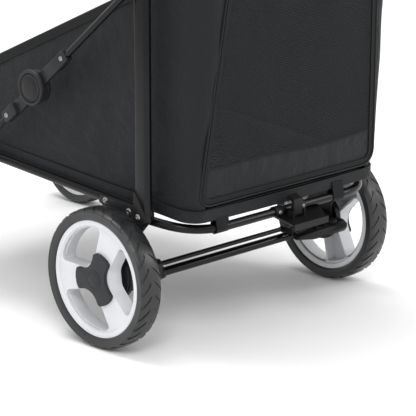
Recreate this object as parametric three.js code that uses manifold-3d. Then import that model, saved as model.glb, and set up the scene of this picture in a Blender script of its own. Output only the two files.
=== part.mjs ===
/**
 * A folding pet stroller: a fabric cabin with a hood on a four-wheel tube frame.
 *
 * Design frame, in millimetres: X to the stroller's left, Y to its rear, Z up.
 * The ground is z = 0 and the rear axle is y = 0; the last step moves the origin
 * to the middle of the bottom of the whole stroller.
 */
import * as THREE from "three";
import { mergeVertices } from "three/addons/utils/BufferGeometryUtils.js";
import Module from "manifold-3d";

const wasm = await Module();
wasm.setup();

// ---------------------------------------------------------------- driving dimensions

const GAP = 0.3; // between two pieces that touch
const RUN = 0.8; // radial clearance round a pin that turns
const SIDES = [
  ["left", 1],
  ["right", -1],
];

// Wheels
const REAR_RADIUS = 125;
const REAR_WIDTH = 47;
const REAR_RIM = 106;
const REAR_X = 291.5;
const FRONT_RADIUS = 100;
const FRONT_WIDTH = 40;
const FRONT_RIM = 84;
const FRONT_X = 306;
const WHEELBASE = 724;
const WHEEL_FACETS = 32;
const RIM_WALL = 7;
const HUB_RADIUS = 24;
const SPOKE_COUNT = 3;
const SPOKE_START = { left: 67, right: 49 }; // first spoke, in degrees from rearwards towards up
const SPOKE_THICK = 6;
const SPOKE_RECESS = 2;
const CAP_THICK = 5;
const BRAKE_RING_RADIUS = 44;
const BRAKE_RING_DEPTH = 8.5;
const BRAKE_TEETH = 24;
const BRAKE_TOOTH_TIP = 31.6;
const BRAKE_TOOTH_ROOT = 36;

// Rear axle
const SPINDLE_RADIUS = 5;
const AXLE_TUBE_RADIUS = 8;
const AXLE_TUBE = { y: 20, z: 112 };
const BRAKE_ROD_RADIUS = 4.25;
const PEDAL_COLLAR = 7.4;
const PEDAL_CLEARANCE = 1.1; // between the pedal's collars and the axle tube
const BRAKE_ROD = {
  y: AXLE_TUBE.y,
  z: AXLE_TUBE.z + AXLE_TUBE_RADIUS + PEDAL_COLLAR + PEDAL_CLEARANCE,
};
const HOUSING_INNER_X = 178;
const HOUSING_OUTER_X = 252;
const AXLE_SOCKET = 30;
const PAWL_REACH = 11.2;
const PEDAL_INNER_X = 132;
const PEDAL_OUTER_X = 256;

// Lower frame
const TUBE_RADIUS = 8;
const TUBE_WALL = 1.5;
const SIDE_TUBE_X = 244;
const SIDE_TUBE_Z = 247; // height of its axis over the rear axle
const FRAME_RISE = 0.07; // rise per millimetre forward
const SIDE_TUBE_REAR_Y = 34;
const SIDE_TUBE_FRONT_Y = -712;
const U_TUBE_Y = 160;
const U_TUBE_Z = 222;
const U_TUBE_END = { y: 50, z: 232.5 };
const U_TUBE_BEND = 94;
const PLATE_THICK = 3;
const CROSS_TUBE = { y: -706, z: 276 };

// Front casters
const CASTER_TRAIL = 45;
const BARREL_RADIUS = 17;
const BARREL_BOTTOM = 214;
const BARREL_TOP = 292;
const STEM_RADIUS = 7;
const CROWN_THICK = 9;
const FORK_LEG_THICK = 5;
const FORK_SIDE_GAP = 3;
const FRONT_SPINDLE_RADIUS = 4;
const LOCK_HALF = 10; // half the width of the swivel lock's tab

// Uprights and handle
const UPRIGHT_X = 264;
const UPRIGHT_Y = 73;
const UPRIGHT_WIDE = 16;
const UPRIGHT_DEEP = 34;
const UPRIGHT_WALL = 2;
const UPRIGHT_BOTTOM = 236;
const UPRIGHT_TOP = 700;
const FOLD_Z = 254;
const HANDLE_RADIUS = 8;
const HANDLE_BEND_Z = 740;
const HANDLE_TOP = { y: 235, z: 1030 };
const HANDLE_CORNER = 70;
const GRIP_RADIUS = 15;
const GRIP_HALF = 150;

// Folding struts: from the foot on the side tube, over the elbow, to the upright
const STRUT_X = 284;
const ELBOW = { y: -177, z: 433 };
const STRUT_TOP = { y: UPRIGHT_Y, z: 645 };
const LOWER_STRUT = 300;
const STRUT_RADIUS = 6;
const EYE_RADIUS = 12;
const EYE_PIN_RADIUS = 4.5;
const ARM_WIDE = 23;
const ARM_THICK = 16;
const ARM_LENGTH = 108;
const ARM_NECK = 72; // up to here each arm is half as thick, so that they fold past each other
const ELBOW_HUB_RADIUS = 30;
const KNOB_RADIUS = 32;
const KNOB_OUTER_X = 301;
const BUTTON_RADIUS = 25;
const BUTTON_DEPTH = 7;

// Fabric cabin and hood
const CABIN_HALF = 234;
const FABRIC = 5;
const CABIN_BOTTOM_Z = 251; // at the cabin's rear
const CABIN_REAR_Y = 160;
const CABIN_FRONT_Y = -606;
const FRONT_WALL_HIGH = 60;
const REAR_LEAN = 0.0925;
const HOOD_CENTRE = { y: 58, z: 640 };
const HOOD_RADIUS = 250;
const RIM_SLOPE = THREE.MathUtils.degToRad(25);
const HOOD_REAR_END = THREE.MathUtils.degToRad(100);
const BOW_START = THREE.MathUtils.degToRad(156);
const BOW_END = THREE.MathUtils.degToRad(165);
const BOW_ARM_THICK = 3.4;
const BOW_DISC_RADIUS = 16;
const BOW_FOOT_INSET = THREE.MathUtils.degToRad(1);
const DOOR_BOTTOM_Z = 264;
const DOOR_TOP_Z = 790;
const DOOR_HALF_BOTTOM = 222;
const DOOR_HALF_TOP = 164;
const DOOR_GAP = 1.5;
const BOARD_THICK = 5;
const CUSHION_THICK = 28;
const CUSHION_INSET = 8;

// ---------------------------------------------------------------- materials

const finish = (color, roughness, metalness = 0) =>
  new THREE.MeshStandardMaterial({ color, roughness, metalness });
const TUBE_BLACK = finish(0x1b1c1e, 0.35, 0.4);
const PLASTIC = finish(0x2a2b2d, 0.6);
const WHITE_RIM = finish(0xdfe1e3, 0.45);
const RUBBER = finish(0x2c2d2f, 0.85);
const CAP_GREY = finish(0x4a4c50, 0.5);
const FABRIC_DARK = finish(0x26292c, 0.9);
const MESH_DARK = finish(0x1c1e20, 0.95);
const FOAM = finish(0x1a1a1a, 0.95);
const PAD_GREY = finish(0x4d5054, 0.9);

// ---------------------------------------------------------------- solids from three.js shapes

/** The solid inside a closed geometry, with its faces turned outwards. */
function solidOf(geometry) {
  const bare = geometry.index ? geometry.toNonIndexed() : geometry.clone();
  bare.deleteAttribute("normal");
  bare.deleteAttribute("uv");
  const merged = mergeVertices(bare, 1e-3);
  const corners = merged.index.array;
  const faces = [];
  for (let i = 0; i < corners.length; i += 3) {
    const [a, b, c] = corners.slice(i, i + 3);
    if (a !== b && b !== c && c !== a) faces.push(a, b, c);
  }
  const build = (triangles) =>
    new wasm.Manifold(
      new wasm.Mesh({
        numProp: 3,
        vertProperties: new Float32Array(merged.attributes.position.array),
        triVerts: new Uint32Array(triangles),
      }),
    );
  const solid = build(faces);
  return solid.volume() < 0 ? build(faces.reverse()) : solid;
}

/** The geometry of a solid. */
function geometryOf(solid) {
  const { vertProperties, triVerts } = solid.getMesh();
  const geometry = new THREE.BufferGeometry();
  geometry.setAttribute("position", new THREE.BufferAttribute(vertProperties, 3));
  geometry.setIndex(new THREE.BufferAttribute(triVerts, 1));
  geometry.computeVertexNormals();
  return geometry;
}

const join = (first, ...others) => others.reduce((sum, solid) => sum.add(solid), first);
const cut = (first, ...others) => others.reduce((rest, solid) => rest.subtract(solid), first);

/** A left-hand solid as it is, or its mirror image for the right-hand side. */
function sided(solid, side) {
  return side > 0 ? solid : solidOf(geometryOf(solid).scale(-1, 1, 1));
}

/** A flat outline pushed straight out: its own plane is XY and it rises along Z. */
function extruded(outline, depth, holes = []) {
  const toPoints = (points) => points.map(([a, b]) => new THREE.Vector2(a, b));
  const shape = new THREE.Shape(toPoints(outline));
  shape.holes = holes.map((hole) => new THREE.Path(toPoints(hole)));
  return new THREE.ExtrudeGeometry(shape, { depth, bevelEnabled: false });
}

/** An outline of [y, z] points between two x planes. */
function prismX(outline, x0, x1, holes) {
  const turn = new THREE.Matrix4().makeBasis(
    new THREE.Vector3(0, 1, 0),
    new THREE.Vector3(0, 0, 1),
    new THREE.Vector3(1, 0, 0),
  );
  return solidOf(extruded(outline, x1 - x0, holes).applyMatrix4(turn).translate(x0, 0, 0));
}

/** An outline of [x, y] points between two z planes. */
function prismZ(outline, z0, z1, holes) {
  return solidOf(extruded(outline, z1 - z0, holes).translate(0, 0, z0));
}

/** A box between two opposite corners. */
function box([x0, y0, z0], [x1, y1, z1]) {
  const geometry = new THREE.BoxGeometry(x1 - x0, y1 - y0, z1 - z0);
  return solidOf(geometry.translate((x0 + x1) / 2, (y0 + y1) / 2, (z0 + z1) / 2));
}

/** A round bar between two points. */
function rod(from, to, radius, sides = 12) {
  const start = new THREE.Vector3(...from);
  const along = new THREE.Vector3(...to).sub(start);
  const geometry = new THREE.CylinderGeometry(radius, radius, along.length(), sides);
  geometry.translate(0, along.length() / 2, 0);
  const turn = new THREE.Quaternion().setFromUnitVectors(
    new THREE.Vector3(0, 1, 0),
    along.clone().normalize(),
  );
  geometry.applyQuaternion(turn).translate(...from);
  return solidOf(geometry);
}

const rodX = ({ y, z }, radius, x0, x1, sides) => rod([x0, y, z], [x1, y, z], radius, sides);
const rodZ = (x, y, radius, z0, z1, sides) => rod([x, y, z0], [x, y, z1], radius, sides);

/** A hollow straight tube between two points; its bore runs past both ends. */
function pipe(from, to, radius, wall, sides = 12) {
  const start = new THREE.Vector3(...from);
  const end = new THREE.Vector3(...to);
  const past = end.clone().sub(start).setLength(1);
  const bore = rod(start.sub(past).toArray(), end.add(past).toArray(), radius - wall, sides);
  return cut(rod(from, to, radius, sides), bore);
}

/** A round bar along a curve. */
function swept(path, radius, steps, sides) {
  const section = new THREE.Shape(ring(radius, sides).map(([a, b]) => new THREE.Vector2(a, b)));
  const settings = { steps, extrudePath: path, bevelEnabled: false };
  return solidOf(new THREE.ExtrudeGeometry(section, settings));
}

/** Points evenly round a circle. */
function ring(radius, count, [a, b] = [0, 0], start = 0) {
  return Array.from({ length: count }, (_, i) => {
    const angle = start + (2 * Math.PI * i) / count;
    return [a + radius * Math.cos(angle), b + radius * Math.sin(angle)];
  });
}

/** A ring or disc turned about the X axis from [radius, x] points, with a flat at its bottom. */
function turned(profile, facets = WHEEL_FACETS) {
  const points = [...profile, profile[0]].map(([r, x]) => new THREE.Vector2(r, x));
  return solidOf(new THREE.LatheGeometry(points, facets, Math.PI / facets).rotateZ(-Math.PI / 2));
}

const stroller = new THREE.Group();

/** Adds one named piece to the stroller, or to a group in it. */
function piece(name, solid, material, parent = stroller) {
  const mesh = new THREE.Mesh(geometryOf(solid), material);
  mesh.name = name;
  parent.add(mesh);
}

// ---------------------------------------------------------------- shared places

const sideTubeZ = (y) => SIDE_TUBE_Z - FRAME_RISE * y;
const cabinBottomZ = (y) => CABIN_BOTTOM_Z + FRAME_RISE * (CABIN_REAR_Y - y);
const rearWallY = (z) => CABIN_REAR_Y + REAR_LEAN * (z - CABIN_BOTTOM_Z);
const hoodPoint = (angle, radius = HOOD_RADIUS) => [
  HOOD_CENTRE.y + radius * Math.cos(angle),
  HOOD_CENTRE.z + radius * Math.sin(angle),
];
const GUSSET_X = HOUSING_OUTER_X + GAP;
const FOLD = { y: UPRIGHT_Y, z: FOLD_Z };
const CASTER_Y = -WHEELBASE - CASTER_TRAIL;
const LOCK = { y: CASTER_Y - BARREL_RADIUS - 6, z: BARREL_BOTTOM + 40 };
const strutAngle = Math.atan2(STRUT_TOP.z - ELBOW.z, STRUT_TOP.y - ELBOW.y);
const STRUT_FOOT = {
  y: ELBOW.y - LOWER_STRUT * Math.cos(strutAngle),
  z: ELBOW.z - LOWER_STRUT * Math.sin(strutAngle),
};
/** A point on the struts' line, a distance up from the elbow. */
const alongStrut = (distance) => ({
  y: ELBOW.y + distance * Math.cos(strutAngle),
  z: ELBOW.z + distance * Math.sin(strutAngle),
});

/** The angle at which the hood's circle meets the leaning rear wall. */
function hoodRearAngle() {
  let low = 0;
  let high = Math.PI / 2;
  for (let i = 0; i < 40; i += 1) {
    const middle = (low + high) / 2;
    const [y, z] = hoodPoint(middle);
    if (y > rearWallY(z)) low = middle;
    else high = middle;
  }
  return low;
}
const HOOD_REAR_START = hoodRearAngle();

/** Points along the hood's circle between two angles. */
function hoodArc(start, end, count, radius = HOOD_RADIUS) {
  return Array.from({ length: count + 1 }, (_, i) =>
    hoodPoint(start + ((end - start) * i) / count, radius),
  );
}

// ---------------------------------------------------------------- wheels

function tyre(radius, width, rim) {
  const crown = radius / Math.cos(Math.PI / WHEEL_FACETS);
  const height = crown - rim;
  const half = width / 2;
  const seat = rim / Math.cos(Math.PI / WHEEL_FACETS) + GAP;
  const flank = [
    [seat, 0.85 * half],
    [rim + 0.35 * height, half],
    [rim + 0.68 * height, 0.93 * half],
    [rim + 0.9 * height, 0.7 * half],
    [crown, 0.35 * half],
  ];
  const mirrored = flank.map(([r, x]) => [r, -x]).reverse();
  return turned([...flank, ...mirrored]);
}

/** The spokes' directions about the X axis, from +Y towards +Z, for a first one in degrees. */
function spokeAngles(start) {
  const first = THREE.MathUtils.degToRad(start);
  return Array.from({ length: SPOKE_COUNT }, (_, i) => first + (2 * Math.PI * i) / SPOKE_COUNT);
}

/** One broad spoke, pointing up: wider at the rim than at the hub. */
function spoke(rim, x0, x1) {
  const foot = 0.75 * HUB_RADIUS;
  const head = 0.3 * rim;
  const reach = rim - RIM_WALL / 2;
  const edge = Math.sqrt(reach * reach - head * head);
  return prismX(
    [
      [-foot, 0],
      [foot, 0],
      [head, edge],
      [-head, edge],
    ],
    x0,
    x1,
  );
}

/** A three-spoked rim about the X axis, its spokes near the outer face. */
function rim(radius, width, spindle, start) {
  const half = 0.4 * width;
  const inner = radius - RIM_WALL;
  const barrel = turned(
    [
      [inner, -half],
      [radius, -half],
      [radius, half],
      [inner, half],
    ],
    24,
  );
  const hub = rod([-half, 0, 0], [half, 0, 0], HUB_RADIUS, 18);
  const face = half - SPOKE_RECESS;
  const upright = geometryOf(spoke(radius, face - SPOKE_THICK, face));
  const spokes = spokeAngles(start).map((angle) => {
    return solidOf(upright.clone().rotateX(angle - Math.PI / 2));
  });
  const bore = rod([-width, 0, 0], [width, 0, 0], spindle + RUN, 12);
  return cut(join(barrel, hub, ...spokes), bore);
}

/** The three-lobed cap over the hub; a cap inside a fork has a hole for the spindle. */
function hubcap(width, reach, hole, start) {
  const x0 = 0.4 * width + GAP;
  const outline = spokeAngles(start).flatMap((middle) => {
    return [
      [-0.62, 0.55],
      [-0.42, 0.88],
      [-0.32, 1],
      [0.32, 1],
      [0.42, 0.88],
      [0.62, 0.55],
    ].map(([turn, share]) => [
      reach * share * Math.cos(middle + turn),
      reach * share * Math.sin(middle + turn),
    ]);
  });
  const cap = prismX(outline, x0, x0 + CAP_THICK);
  return hole ? cut(cap, rod([x0 - 1, 0, 0], [x0 + CAP_THICK + 1, 0, 0], hole, 12)) : cap;
}

/** The brake ring: a disc on the hub's inner end with a rim that has teeth inside. */
function brakeRing() {
  const discX = -0.5 * REAR_WIDTH - GAP - 0.5;
  const teeth = Array.from({ length: 2 * BRAKE_TEETH }, (_, i) => {
    const radius = Math.floor(i / 2) % 2 ? BRAKE_TOOTH_TIP : BRAKE_TOOTH_ROOT;
    const angle = (Math.PI * (i + 0.5)) / BRAKE_TEETH;
    return [radius * Math.cos(angle), radius * Math.sin(angle)];
  });
  const wall = prismX(ring(BRAKE_RING_RADIUS, 24), discX - BRAKE_RING_DEPTH, discX + 1, [teeth]);
  const discOuter = -0.4 * REAR_WIDTH - GAP;
  const disc = rod([discX, 0, 0], [discOuter, 0, 0], BRAKE_RING_RADIUS - 2, 24);
  const bore = rod([discX - 1, 0, 0], [discOuter + 1, 0, 0], SPINDLE_RADIUS + RUN, 12);
  return cut(join(wall, disc), bore);
}

/** Puts a wheel's pieces, made round the origin, at the wheel's centre. */
function wheel(tag, side, { x, y, radius, width, rimRadius, spindle, reach, capHole, start }) {
  const group = new THREE.Group();
  group.position.set(side * x, y, radius);
  stroller.add(group);
  piece(`${tag}_tyre`, tyre(radius, width, rimRadius), RUBBER, group);
  piece(`${tag}_rim`, sided(rim(rimRadius, width, spindle, start), side), WHITE_RIM, group);
  piece(`${tag}_hubcap`, sided(hubcap(width, reach, capHole, start), side), CAP_GREY, group);
  return group;
}

for (const [tag, side] of SIDES) {
  const rear = wheel(`rear_${tag}`, side, {
    x: REAR_X,
    y: 0,
    radius: REAR_RADIUS,
    width: REAR_WIDTH,
    rimRadius: REAR_RIM,
    spindle: SPINDLE_RADIUS,
    reach: 48,
    start: SPOKE_START[tag],
  });
  piece(`rear_${tag}_brake_ring`, sided(brakeRing(), side), PLASTIC, rear);
  wheel(`front_${tag}`, side, {
    x: FRONT_X,
    y: -WHEELBASE,
    radius: FRONT_RADIUS,
    width: FRONT_WIDTH,
    rimRadius: FRONT_RIM,
    spindle: FRONT_SPINDLE_RADIUS,
    reach: 38,
    capHole: FRONT_SPINDLE_RADIUS + RUN,
    start: SPOKE_START[tag],
  });
}

// ---------------------------------------------------------------- rear axle and brake

function axleHousing(innerX) {
  const y0 = -14;
  const y1 = 34;
  const block = prismX(
    [
      [y0, 108],
      [y0 + 8, 99],
      [y1 - 8, 96],
      [y1, 104],
      [y1, 134],
      [y1 - 8, 142],
      [y0 + 6, 142],
      [y0, 136],
    ],
    innerX,
    HOUSING_OUTER_X,
  );
  const socket = rodX(AXLE_TUBE, AXLE_TUBE_RADIUS + GAP, innerX - 1, HOUSING_INNER_X + AXLE_SOCKET);
  const rodBore = rodX(BRAKE_ROD, BRAKE_ROD_RADIUS + RUN, innerX - 1, HOUSING_OUTER_X + 1);
  const centre = { y: 0, z: REAR_RADIUS };
  const spindleEnd = REAR_X + 0.4 * REAR_WIDTH - 1;
  const spindle = rodX(centre, SPINDLE_RADIUS, HOUSING_OUTER_X - 20, spindleEnd);
  return join(cut(block, socket, rodBore), spindle);
}

function gussetPlate() {
  const outline = [
    [-46, sideTubeZ(-46) + 7],
    [UPRIGHT_Y - 22, sideTubeZ(UPRIGHT_Y) + 10],
    [FOLD.y, FOLD.z + 14],
    [FOLD.y + 14, FOLD.z + 4],
    [FOLD.y + 14, FOLD.z - 12],
    [46, 196],
    [34, 150],
    [34, 100],
    [-14, 100],
    [-14, 160],
    [-4, 205],
    [-34, sideTubeZ(-34) - 12],
    [-50, sideTubeZ(-46) - 6],
  ];
  const plate = prismX(outline, GUSSET_X, GUSSET_X + PLATE_THICK);
  const x0 = GUSSET_X - 1;
  const x1 = GUSSET_X + PLATE_THICK + 1;
  return cut(
    plate,
    rodX({ y: 0, z: REAR_RADIUS }, SPINDLE_RADIUS + GAP, x0, x1),
    rodX(BRAKE_ROD, BRAKE_ROD_RADIUS + RUN, x0, x1),
  );
}

/** The cross rod that turns with the pedal, with a pawl inside each brake ring. */
function brakeRod() {
  const ringX = REAR_X - 0.5 * REAR_WIDTH - GAP - 0.5;
  const end = ringX - 1.5;
  const bar = rodX(BRAKE_ROD, BRAKE_ROD_RADIUS, -end, end);
  const outwards = Math.atan2(BRAKE_ROD.z - REAR_RADIUS, BRAKE_ROD.y);
  const aim = outwards + THREE.MathUtils.degToRad(45);
  const across = aim + Math.PI / 2;
  const corner = (reach, half) => [
    BRAKE_ROD.y + reach * Math.cos(aim) + half * Math.cos(across),
    BRAKE_ROD.z + reach * Math.sin(aim) + half * Math.sin(across),
  ];
  const pawlOutline = [corner(0, -3), corner(PAWL_REACH, -1.2), corner(PAWL_REACH, 1.2), corner(0, 3)];
  const pawl = prismX(pawlOutline, end - 5, end);
  return join(bar, pawl, sided(pawl, -1));
}

/** The foot pedal: a collar on the rod, an arm and a long pad behind the right housing. */
function brakePedal() {
  const { y, z } = BRAKE_ROD;
  const collar = ring(PEDAL_COLLAR, 12, [y, z]).filter(([a]) => a < y + 0.1);
  const arm = prismX([...collar, [y + 26, z - 6], [y + 30, z + 3]], -HOUSING_INNER_X + 6, -PEDAL_INNER_X);
  const padOutline = [
    [y + 26, z - 10],
    [y + 50, z - 16],
    [y + 54, z - 10],
    [y + 52, z - 2],
    [y + 30, z + 4],
    [y + 26, z + 2],
  ];
  const pad = prismX(padOutline, -PEDAL_OUTER_X, -PEDAL_INNER_X);
  return cut(join(arm, pad), rodX(BRAKE_ROD, BRAKE_ROD_RADIUS + GAP, -PEDAL_OUTER_X, 0));
}

const tubeEnd = HOUSING_INNER_X + AXLE_SOCKET - 1;
const { y: axleY, z: axleZ } = AXLE_TUBE;
piece(
  "axle_tube",
  pipe([-tubeEnd, axleY, axleZ], [tubeEnd, axleY, axleZ], AXLE_TUBE_RADIUS, TUBE_WALL),
  TUBE_BLACK,
);
for (const [tag, side] of SIDES) {
  piece(`axle_housing_${tag}`, sided(axleHousing(HOUSING_INNER_X), side), PLASTIC);
  piece(`gusset_plate_${tag}`, sided(gussetPlate(), side), PLASTIC);
}
piece("brake_rod", brakeRod(), TUBE_BLACK);
piece("brake_pedal", brakePedal(), PLASTIC);

// ---------------------------------------------------------------- lower frame

function rearUTube() {
  const path = new THREE.CurvePath();
  const inner = SIDE_TUBE_X - U_TUBE_BEND;
  const points = [
    [SIDE_TUBE_X, U_TUBE_END.y, U_TUBE_END.z],
    [SIDE_TUBE_X, U_TUBE_Y - U_TUBE_BEND, U_TUBE_END.z - 1],
    [inner, U_TUBE_Y, U_TUBE_Z],
    [-inner, U_TUBE_Y, U_TUBE_Z],
    [-SIDE_TUBE_X, U_TUBE_Y - U_TUBE_BEND, U_TUBE_END.z - 1],
    [-SIDE_TUBE_X, U_TUBE_END.y, U_TUBE_END.z],
  ].map((point) => new THREE.Vector3(...point));
  const round = 0.45 * U_TUBE_BEND;
  const bend = (start, end, side) =>
    new THREE.CubicBezierCurve3(
      start,
      new THREE.Vector3(start.x, start.y, start.z).add(
        side > 0 ? new THREE.Vector3(0, U_TUBE_BEND - round, -4) : new THREE.Vector3(-(U_TUBE_BEND - round), 0, 0),
      ),
      new THREE.Vector3(end.x, end.y, end.z).add(
        side > 0 ? new THREE.Vector3(U_TUBE_BEND - round, 0, 0) : new THREE.Vector3(0, U_TUBE_BEND - round, -4),
      ),
      end,
    );
  path.add(new THREE.LineCurve3(points[0], points[1]));
  path.add(bend(points[1], points[2], 1));
  path.add(new THREE.LineCurve3(points[2], points[3]));
  path.add(bend(points[3], points[4], -1));
  path.add(new THREE.LineCurve3(points[4], points[5]));
  return swept(path, TUBE_RADIUS, 30, 8);
}

function sideTube() {
  return pipe(
    [SIDE_TUBE_X, SIDE_TUBE_FRONT_Y, sideTubeZ(SIDE_TUBE_FRONT_Y)],
    [SIDE_TUBE_X, SIDE_TUBE_REAR_Y, sideTubeZ(SIDE_TUBE_REAR_Y)],
    TUBE_RADIUS,
    TUBE_WALL,
  );
}

/** The moulding that joins the side tube's front end to the caster's upright barrel. */
function casterBracket() {
  const x0 = SIDE_TUBE_X - 12;
  const x1 = SIDE_TUBE_X + 12;
  const tubeZ = sideTubeZ(SIDE_TUBE_FRONT_Y);
  const sleeve = box([x0, SIDE_TUBE_FRONT_Y - 20, tubeZ - 34], [x1, SIDE_TUBE_FRONT_Y + 36, tubeZ + 12]);
  const arm = prismZ(
    [
      [x0, SIDE_TUBE_FRONT_Y + 30],
      [x0, SIDE_TUBE_FRONT_Y - 26],
      [FRONT_X - 12, CASTER_Y - 12],
      [FRONT_X + 10, CASTER_Y - 12],
      [FRONT_X + 14, CASTER_Y + 6],
      [x1, SIDE_TUBE_FRONT_Y + 30],
    ],
    tubeZ - 34,
    tubeZ - 12,
  );
  const barrel = rodZ(FRONT_X, CASTER_Y, BARREL_RADIUS, BARREL_BOTTOM, BARREL_TOP, 16);
  const ears = [LOCK_HALF + GAP, -LOCK_HALF - GAP - 4].map((x) =>
    box([FRONT_X + x, LOCK.y - 4, LOCK.z - 6], [FRONT_X + x + 4, CASTER_Y, LOCK.z + 6]),
  );
  const tubeBore = rod(
    [SIDE_TUBE_X, SIDE_TUBE_FRONT_Y - GAP, tubeZ],
    [SIDE_TUBE_X, SIDE_TUBE_FRONT_Y + 60, sideTubeZ(SIDE_TUBE_FRONT_Y + 60)],
    TUBE_RADIUS + 2 * GAP,
    12,
  );
  const stemBore = rodZ(FRONT_X, CASTER_Y, STEM_RADIUS + RUN, BARREL_BOTTOM - 1, BARREL_TOP - 8);
  return cut(join(sleeve, arm, barrel, ...ears), tubeBore, stemBore);
}

/** A plate on the side tube with the pin that carries the lower strut. */
function strutFoot() {
  const y = STRUT_FOOT.y;
  const x0 = SIDE_TUBE_X + TUBE_RADIUS + GAP;
  const plate = prismX(
    [
      [y - 10, STRUT_FOOT.z - 10],
      [y + 10, STRUT_FOOT.z - 10],
      [y + 24, sideTubeZ(y + 24) + 6],
      [y - 24, sideTubeZ(y - 24) + 6],
    ],
    x0,
    x0 + PLATE_THICK,
  );
  const eyeInner = STRUT_X - ARM_THICK / 2;
  const spacer = rodX(STRUT_FOOT, 8, x0 + 1, eyeInner - GAP);
  const pin = rodX(STRUT_FOOT, EYE_PIN_RADIUS, x0 + 1, STRUT_X + ARM_THICK / 2 + 2);
  return join(plate, spacer, pin);
}

/** The plate under the rear tube, with a turned-down edge at its back. */
function latchPlate() {
  const top = U_TUBE_Z - TUBE_RADIUS - GAP;
  const rear = U_TUBE_Y + 68;
  const plate = prismZ(
    [
      [24, U_TUBE_Y - 12],
      [50, rear],
      [-32, rear],
      [-90, U_TUBE_Y - 12],
    ],
    top - 4,
    top,
  );
  const lip = box([-34, rear - 5, top - 9], [52, rear, top + 3]);
  const ears = [-14, 14].map((x) => box([x - 2, U_TUBE_Y + 16, top - 1], [x + 2, U_TUBE_Y + 30, top + 12]));
  const pin = rodX({ y: U_TUBE_Y + 23, z: top + 7 }, 2, -15, 15, 8);
  return join(plate, lip, ...ears, pin);
}

/** The hook that holds the folded frame shut. */
function latchHook() {
  const top = U_TUBE_Z - TUBE_RADIUS - GAP;
  const y = U_TUBE_Y + 23;
  const hook = prismX(
    [
      [y - 5, top + 3],
      [y + 5, top + 3],
      [y + 4, top + 32],
      [y - 12, top + 38],
      [y - 14, top + 32],
      [y - 3, top + 28],
    ],
    -11,
    11,
  );
  return cut(hook, rodX({ y, z: top + 7 }, 2 + RUN, -20, 20, 8));
}

piece("rear_u_tube", rearUTube(), TUBE_BLACK);
const bracketInner = SIDE_TUBE_X - 12 - GAP;
piece(
  "front_cross_tube",
  pipe(
    [-bracketInner, CROSS_TUBE.y, CROSS_TUBE.z],
    [bracketInner, CROSS_TUBE.y, CROSS_TUBE.z],
    TUBE_RADIUS,
    TUBE_WALL,
  ),
  TUBE_BLACK,
);
for (const [tag, side] of SIDES) {
  piece(`side_tube_${tag}`, sided(sideTube(), side), TUBE_BLACK);
  piece(`caster_bracket_${tag}`, sided(casterBracket(), side), PLASTIC);
  piece(`strut_foot_${tag}`, sided(strutFoot(), side), PLASTIC);
}
piece("latch_plate", latchPlate(), PLASTIC);
piece("latch_hook", latchHook(), PLASTIC);

// ---------------------------------------------------------------- casters

function casterFork() {
  const wheelTop = 2 * FRONT_RADIUS;
  const crownBottom = BARREL_BOTTOM - GAP - CROWN_THICK;
  const halfInner = FRONT_WIDTH / 2 + FORK_SIDE_GAP;
  const halfOuter = halfInner + FORK_LEG_THICK;
  const crown = box(
    [FRONT_X - halfOuter, CASTER_Y - 14, crownBottom],
    [FRONT_X + halfOuter, CASTER_Y + 34, crownBottom + CROWN_THICK],
  );
  const legOutline = [
    [CASTER_Y - 14, crownBottom + 4],
    [CASTER_Y + 34, crownBottom + 4],
    [-WHEELBASE + 12, FRONT_RADIUS + 6],
    [-WHEELBASE + 8, FRONT_RADIUS - 10],
    [-WHEELBASE - 8, FRONT_RADIUS - 10],
    [-WHEELBASE - 14, FRONT_RADIUS + 8],
    [CASTER_Y - 14, wheelTop - 40],
  ];
  const legs = [halfInner, -halfOuter].map((x) =>
    prismX(legOutline, FRONT_X + x, FRONT_X + x + FORK_LEG_THICK),
  );
  const centre = { y: -WHEELBASE, z: FRONT_RADIUS };
  const spindle = rodX(centre, FRONT_SPINDLE_RADIUS, FRONT_X - halfOuter, FRONT_X + halfOuter);
  const stem = rodZ(FRONT_X, CASTER_Y, STEM_RADIUS, crownBottom + 2, BARREL_TOP - 12);
  return join(crown, ...legs, spindle, stem);
}

/** The flip tab on the bracket that stops the caster from swivelling. */
function swivelLock() {
  const { y, z } = LOCK;
  return prismX(
    [
      [y + 4, z + 2],
      [y - 6, z + 6],
      [y - 12, z - 16],
      [y - 5, z - 18],
      [y + 4, z - 6],
    ],
    FRONT_X - LOCK_HALF,
    FRONT_X + LOCK_HALF,
  );
}

for (const [tag, side] of SIDES) {
  piece(`caster_fork_${tag}`, sided(casterFork(), side), PLASTIC);
  piece(`swivel_lock_${tag}`, sided(swivelLock(), side), CAP_GREY);
}

// ---------------------------------------------------------------- uprights and handle

/** An oval of two half circles joined by straight sides, as [x, y] points. */
function oval(wide, deep, centreX, centreY) {
  const radius = wide / 2;
  const offset = deep / 2 - radius;
  const arc = (start, shift) =>
    Array.from({ length: 5 }, (_, i) => {
      const angle = start + (Math.PI * i) / 4;
      return [centreX + radius * Math.cos(angle), centreY + shift + radius * Math.sin(angle)];
    });
  return [...arc(0, offset), ...arc(Math.PI, -offset)];
}

function upright() {
  const outer = oval(UPRIGHT_WIDE, UPRIGHT_DEEP, UPRIGHT_X, UPRIGHT_Y);
  const inside = [UPRIGHT_WIDE - 2 * UPRIGHT_WALL, UPRIGHT_DEEP - 2 * UPRIGHT_WALL];
  const bore = oval(...inside, UPRIGHT_X, UPRIGHT_Y).reverse();
  return prismZ(outer, UPRIGHT_BOTTOM, UPRIGHT_TOP, [bore]);
}

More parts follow.
